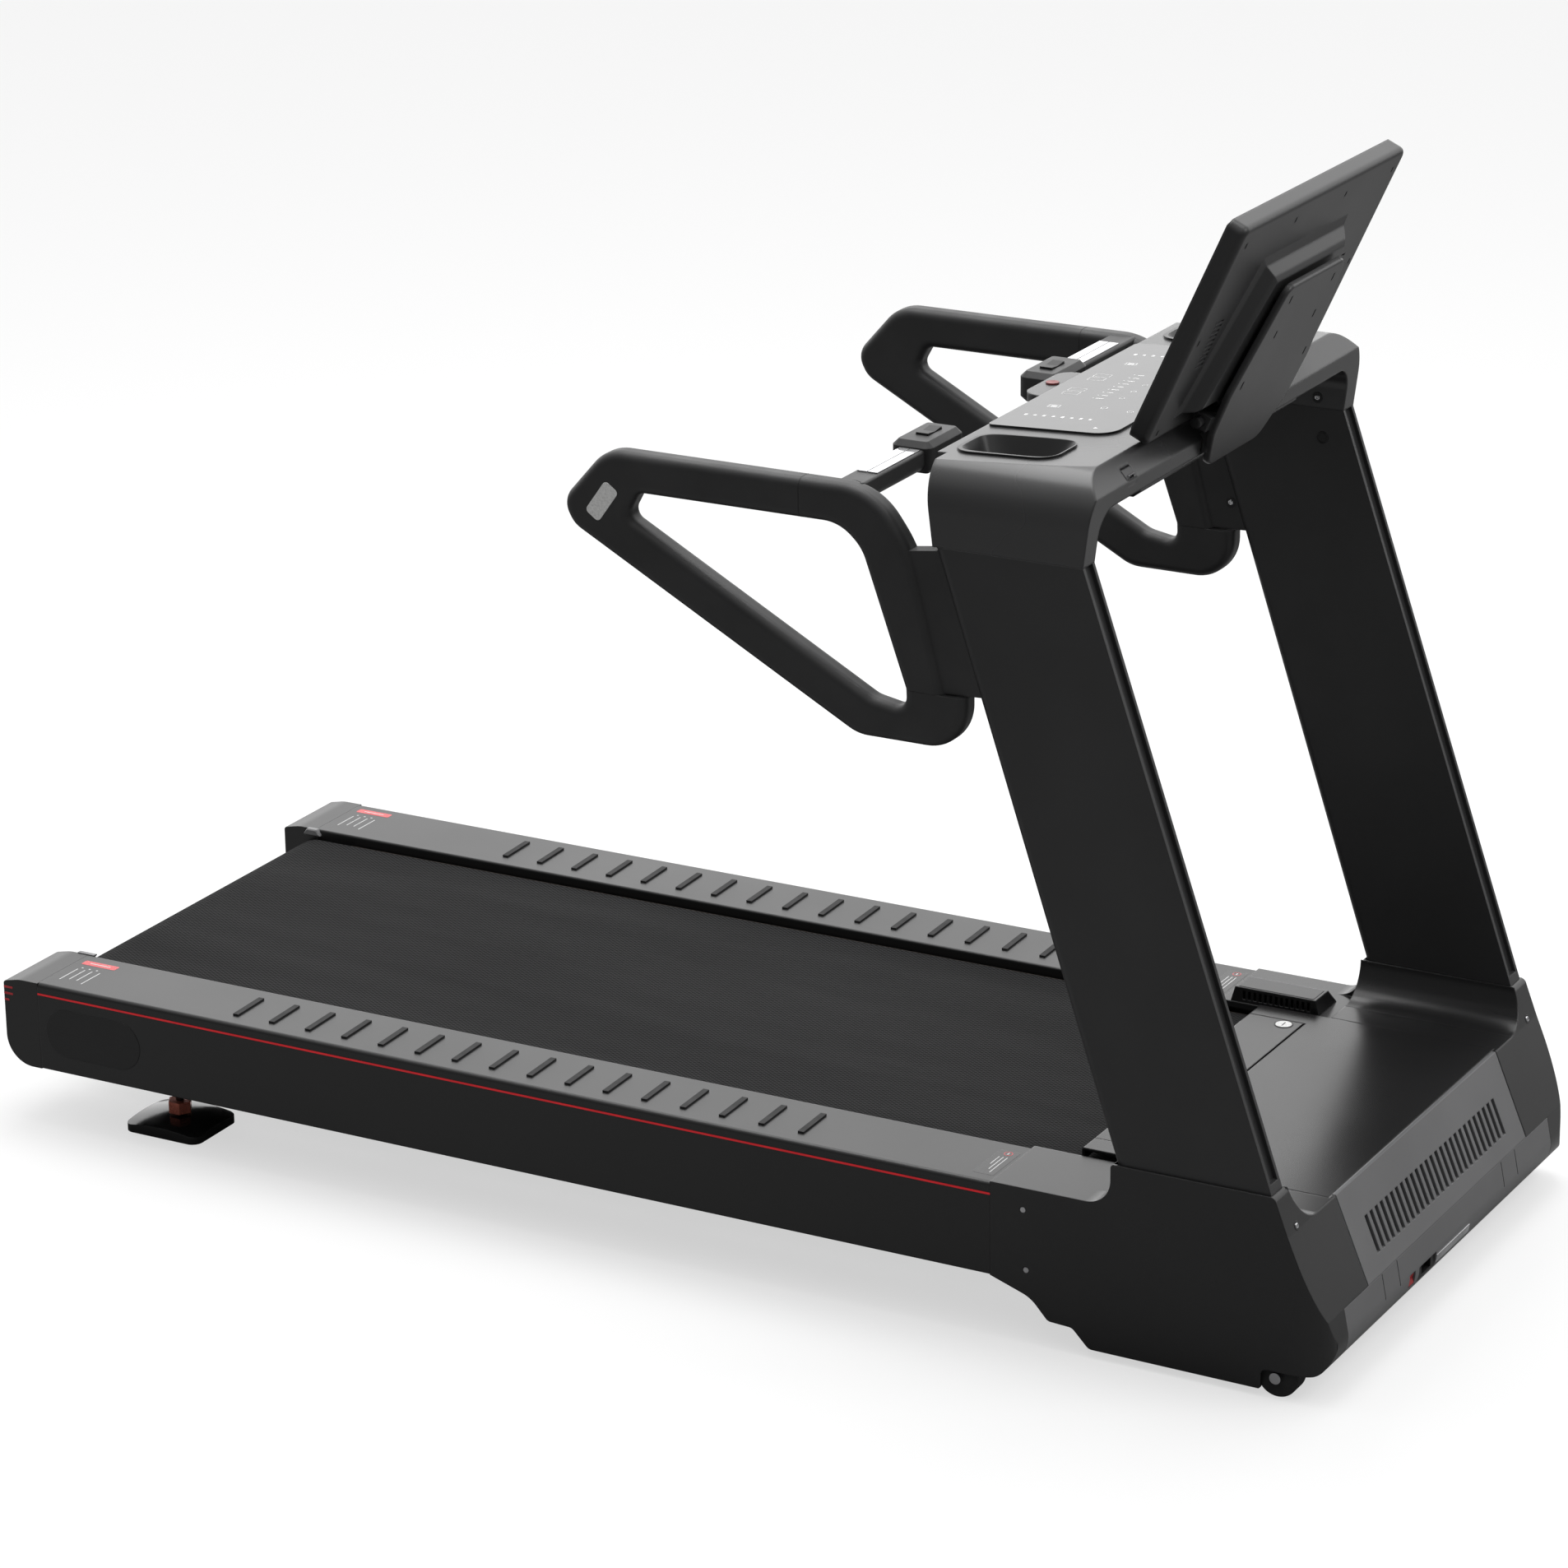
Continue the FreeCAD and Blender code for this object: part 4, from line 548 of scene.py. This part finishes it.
def facing(point, right, normal):
    """The matrix that lays flat work on a surface: its x runs right and its z is the normal."""
    z = Vector(normal).normalized()
    x = Vector(right)
    x = (x - z * x.dot(z)).normalized()
    turn = Matrix((x, z.cross(x), z)).transposed().to_4x4()
    return Matrix.Translation(at(*point)) @ turn @ Matrix.Scale(MM, 4)


def oblong(width, height, radius, x=0.0, y=0.0, steps=6):
    """The outline of a rectangle with round corners."""
    points = []
    for corner, (sx, sy) in enumerate(((1, 1), (-1, 1), (-1, -1), (1, -1))):
        for step in range(steps + 1):
            angle = math.pi / 2 * (corner + step / steps)
            points.append((x + sx * (width / 2 - radius) + radius * math.cos(angle),
                           y + sy * (height / 2 - radius) + radius * math.sin(angle)))
    return points


def disc(radius, x=0.0, y=0.0, steps=SEGMENTS):
    """The outline of a circle."""
    return [(x + radius * math.cos(math.tau * step / steps),
             y + radius * math.sin(math.tau * step / steps)) for step in range(steps)]


def inset(outline, distance):
    """The same outline drawn in by a distance."""
    moved = []
    count = len(outline)
    for index, point in enumerate(outline):
        before = Vector(point) - Vector(outline[index - 1])
        after = Vector(outline[(index + 1) % count]) - Vector(point)
        normal = Vector((-before.y - after.y, before.x + after.x))
        moved.append(Vector(point) + normal.normalized() * distance)
    return moved


def skin(mesh, rings, hollow=False):
    """Joins rings of points with quads and closes both ends."""
    loops = [[mesh.verts.new(point) for point in ring] for ring in rings]
    count = len(loops[0])
    for low, high in zip(loops, loops[1:]):
        for index in range(count):
            after = (index + 1) % count
            mesh.faces.new((low[index], low[after], high[after], high[index]))
    if hollow:
        for index in range(count):
            after = (index + 1) % count
            mesh.faces.new((loops[-1][index], loops[-1][after], loops[0][after], loops[0][index]))
    else:
        mesh.faces.new(list(reversed(loops[0])))
        mesh.faces.new(loops[-1])


def slab(mesh, outline, low, high, bevel):
    """A plate between two heights with a bevelled upper rim."""
    rim = inset(outline, bevel)
    skin(mesh, [[(x, y, low) for x, y in outline], [(x, y, high - bevel) for x, y in outline],
                [(x, y, high) for x, y in rim]])


def band(mesh, outline, width, low, high):
    """A flat ring that follows an outline."""
    inner = inset(outline, width)
    skin(mesh, [[(x, y, low) for x, y in outline], [(x, y, high) for x, y in outline],
                [(x, y, high) for x, y in inner], [(x, y, low) for x, y in inner]], hollow=True)


def socket_screw(mesh, radius, rise):
    """A domed screw head with a hexagonal recess, from shares of its radius and its rise."""
    steps = 24
    dome = ((1.0, -0.5), (1.0, 0.35), (0.93, 0.7), (0.78, 0.92), (0.58, 1.0))
    recess = ((0.46, 1.0), (0.44, 0.1))
    rings = [[(x, y, rise * height) for x, y in disc(radius * share, steps=steps)]
             for share, height in dome]
    for share, height in recess:
        ring = []
        for step in range(steps):
            angle = math.tau * step / steps
            reach = radius * share / math.cos(angle % SIXTH_TURN - SIXTH_TURN / 2)
            ring.append((reach * math.cos(angle), reach * math.sin(angle), rise * height))
        rings.append(ring)
    skin(mesh, rings)


def plate(outline, sunk, proud, bevel):
    """A build step: a slab from below the surface to above it."""
    return slab, outline, -sunk, proud, bevel


def loop(outline, width, sunk, proud):
    """A build step: a band from below the surface to above it."""
    return band, outline, width, -sunk, proud


def piece(name, parts, material, body="chassis"):
    """One object from [(matrix, [(builder, arguments)])], riding on a body."""
    whole = bmesh.new()
    for matrix, steps in parts:
        part = bmesh.new()
        for builder, *arguments in steps:
            builder(part, *arguments)
        part.transform(matrix)
        data = bpy.data.meshes.new("part")
        part.to_mesh(data)
        part.free()
        whole.from_mesh(data)
        bpy.data.meshes.remove(data)
    bmesh.ops.recalc_face_normals(whole, faces=whole.faces)
    data = bpy.data.meshes.new(name)
    whole.to_mesh(data)
    whole.free()
    data.materials.append(material)
    thing = bpy.data.objects.new(name, data)
    bpy.context.scene.collection.objects.link(thing)
    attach(thing, body)


def add_screws():
    """Screw heads on the uprights, the handle flanges and the cover's front edges; round each head a
    flat dark ring is painted shade for the recess it sits in, and one dark disc is painted shade for
    an empty recess.
    """
    heads, well_shades = [], []
    head = (socket_screw, SCREW_RADIUS, SCREW_RISE)
    for hand in (-1, 1):
        inward = (0, -hand, 0)
        for x, y, z in ((1719, 397, 1116), (1586, 404, 943)):
            face = facing((x, hand * y, z), FORWARD, inward)
            heads.append((face, [head]))
            # dark ring round the head: painted shade for its recess
            well_shades.append((face, [loop(disc(8), width=3.5, sunk=0.5, proud=0.5)]))
        # a dark disc in a dark ring, with no head: painted shade for an empty recess
        face = facing((1728, hand * 397, 1059), FORWARD, inward)
        well_shades.append((face, [loop(disc(9), width=1.5, sunk=0.5, proud=0.6),
                             plate(disc(7), sunk=0.5, proud=0.2, bevel=0.2)]))
        face = facing((2061, hand * 403, 240), SIDEWAYS, (53, 0, 20))
        heads.append((face, [head]))
        # dark ring round the cover screw: painted shade for its recess
        well_shades.append((face, [loop(disc(6.5), width=2.2, sunk=0.5, proud=0.4)]))
    piece("post_screws", heads, turned_steel("screw_steel", 0.6, 0.22, "Z"))
    piece("screw_well_shades", well_shades, moulded("well_painted_shade", 0.006, 0.4))


def add_handle_trim():
    """Seam lines where the handle mouldings meet, and a blank white badge on each rear corner."""
    seams, badges = [], []
    for hand in (-1, 1):
        for x, z, right, normal, width, height in (
                (1348, 1140.5, SIDEWAYS, FORWARD, 38.3, 55.3), (1531, 901, FORWARD, UP, 60.3, 38.3)):
            seams.append((facing((x, hand * HANDLE_MIDDLE, z), right, normal),
                          [plate(oblong(width, height, 13.1), sunk=0.5, proud=0.5, bevel=0.2)]))
        badges.append((facing((1049, hand * RAIL_SIDE, 1097), (34, 0, 47), (0, hand, 0)),
                       [plate(oblong(55, 25, 6), sunk=0.3, proud=0.5, bevel=0.3)]))
    piece("handle_seams", seams, moulded("seam_black", 0.004, 0.6))
    piece("handle_badges", badges, printed("badge_white", (0.78, 0.78, 0.77), 0.3))


def stripes(top, width, radius, columns, sunk, proud):
    """Build steps: plain lines that stand for text, each from `top` down, as (x, length)."""
    return [plate(oblong(width, length, radius, x=x, y=top - length / 2), sunk, proud, VINYL_BEVEL)
            for x, length in columns]


def add_rail_trim():
    """Blank badges, stickers and red notches on the foot rails."""
    # ink on the stickers stands this high; the first bar, on red, a little higher
    raised = VINYL + 0.05
    badges, reds, marks, notches, films = [], [], [], [], []
    for hand in (-1, 1):
        outward = (0, hand, 0)
        side = facing((157, hand * RAIL_SIDE, 155), FORWARD, outward)
        badges.append((side, [plate(oblong(168, 76, 38, steps=12), sunk=0.3, proud=0.7, bevel=0.5)]))
        rear = facing((102, hand * RAIL_MIDDLE, RAIL_TOP), FORWARD, UP)
        reds.append((rear, [plate(oblong(60, 15, 3, y=38), 0.1, VINYL, VINYL_BEVEL)]))
        marks.append((rear, [plate(oblong(36, 2.2, 1, y=38), 0, VINYL + 0.08, VINYL_BEVEL)]
                      + stripes(12, 1.8, 0.8, ((-22, 46), (-9, 40), (4, 40), (18, 48)), 0.1, VINYL)
                      + [plate(disc(1.7, x, 18, 12), 0.1, VINYL, VINYL_BEVEL) for x in (-18, -5, 8)]))
        front = facing((1607, hand * RAIL_MIDDLE, RAIL_TOP), FORWARD, UP)
        films.append((front, [plate(oblong(32, 84, 4), sunk=0.1, proud=0.08, bevel=0.04)]))
        reds.append((front, [loop(disc(6.5, 1, 33, 24), 1.2, 0, raised)]))
        marks.append((front, [plate(oblong(2.2, 7, 1, x=1, y=33), 0, raised, VINYL_BEVEL)]
                      + stripes(20, 1.6, 0.7, ((-6, 28), (0, 44), (6, 54)), 0, raised)))
        for z, length in ((211, 16), (201, 16), (191, 9)):
            for point, right, normal, width in (
                    ((length / 2, hand * RAIL_SIDE, z), FORWARD, outward, length),
                    ((0, hand * 430, z), SIDEWAYS, (-1, 0, 0), 10)):
                notches.append((facing(point, right, normal),
                                [plate(oblong(width, 3.4, 1), sunk=0.2, proud=0.4, bevel=0.2)]))
    piece("rail_badges", badges, moulded("rail_badge", 0.009, 0.3))
    piece("sticker_red", reds, printed("sticker_red", (0.62, 0.05, 0.06)))
    piece("sticker_marks", marks, printed("sticker_white", (0.55, 0.55, 0.55)))
    piece("sticker_film", films, moulded("sticker_film", 0.013, 0.22))
    piece("rear_notches", notches, printed("notch_red", (0.55, 0.02, 0.03)))


def add_belt_guides():
    """The small wedges on the rails' inner faces that keep the belt central at its rear end."""
    outline = [(-15, -5), (15, -5), (9, 5.5), (-9, 5.5)]
    guides = [(facing((56, hand * 306, 222), FORWARD, (0, -hand, 0)),
               [plate(outline, sunk=0, proud=9, bevel=2)]) for hand in (-1, 1)]
    piece("belt_guides", guides, moulded("guide_grey", 0.16, 0.35))


def add_hood_trim():
    """A blank round badge, the blank panel on the louvred block and the bumper's blank plate."""
    top = facing((1757, 237, 235), SIDEWAYS, UP)
    panel = facing((1714, 325.5, 251), FORWARD, UP)
    bumper = facing((2118.9, -1, 66), SIDEWAYS, (20, 0, -3.5))
    piece("guard_badge", [(top, [plate(disc(12), sunk=0.2, proud=0.7, bevel=0.4)])],
          printed("guard_white", (0.8, 0.8, 0.79), 0.25))
    piece("guard_badge_mark", [(top, [loop(disc(13.4), width=1.3, sunk=0.2, proud=0.6),
                                      plate(oblong(13, 1.6, 0.7), sunk=-0.2, proud=0.9, bevel=0.1)])],
          moulded("trim_black", 0.006, 0.35))
    piece("louvre_panel", [(panel, [plate(oblong(118, 39, 2), sunk=0.3, proud=0.6, bevel=0.4)])],
          moulded("louvre_panel", 0.016, 0.3))
    piece("data_plate", [(bumper, [plate(oblong(116, 12, 1.5), sunk=0.8, proud=0.9, bevel=0.3)])],
          turned_steel("brushed_plate", 0.7, 0.3, "Z"))


def filled(outline):
    """A build step: a filled printed mark."""
    return plate(outline, 0, INK, INK_BEVEL)


def outlined(outline, width):
    """A build step: a printed mark drawn as a line."""
    return loop(outline, width, 0, INK)


def add_console_trim():
    """Generic key marks on the control panel and the rims of the USB port."""
    # on the panel, x runs forward from its rear edge and y to the left
    slope = facing((1516, 0, 1211), (231, 0, 11), (-11, 0, 231))
    marks = []
    for hand in (-1, 1):
        for index in range(8):
            across = 5 if index % 2 else 7
            marks.append(filled(oblong(4, across, 1, x=30 + 13.5 * index, y=hand * 168)))
        marks.append(outlined(oblong(17, 13, 2, x=47, y=hand * 118), 1))
        marks.append(filled(oblong(9, 6, 1, x=47, y=hand * 118)))
        for y in (30, 48):
            marks.append(outlined(oblong(24, 15, 2, x=38, y=hand * y), 0.7))
        marks.append(outlined(disc(5, 116, hand * 108, 20), 0.9))
        marks.append(filled([(148, hand * 205 - 4), (154, hand * 205), (148, hand * 205 + 4)]))
        marks.append(outlined(disc(4.5, 158, hand * 116, 20), 0.9))
    for index in range(9):
        y = -64 + 16 * index
        marks.append(filled(oblong(9 if index % 3 else 12, 2, 0.8, x=88, y=y)))
        marks.append(filled(disc(1.2, 78, y, 10)))
    for index in range(4):
        marks.append(outlined(disc(4, 116, -54 + 36 * index, 18), 0.8))
    piece("keypad_marks", [(slope, marks)], printed("mark_white", (0.8, 0.8, 0.8)))
    port = facing((1769, -311, 1188), SIDEWAYS, FORWARD)
    piece("usb_plate", [(port, [loop(oblong(17, 8.6, 1, y=5), width=0.9, sunk=0.4, proud=0.5),
                                loop(disc(2.6, 10, 2, 20), width=1.1, sunk=0.4, proud=0.5)])],
          turned_steel("port_steel", 0.5, 0.3, "Z"))


make_camera()
make_studio()
dress(make_materials())
add_screws()
add_handle_trim()
add_rail_trim()
add_belt_guides()
add_hood_trim()
add_console_trim()
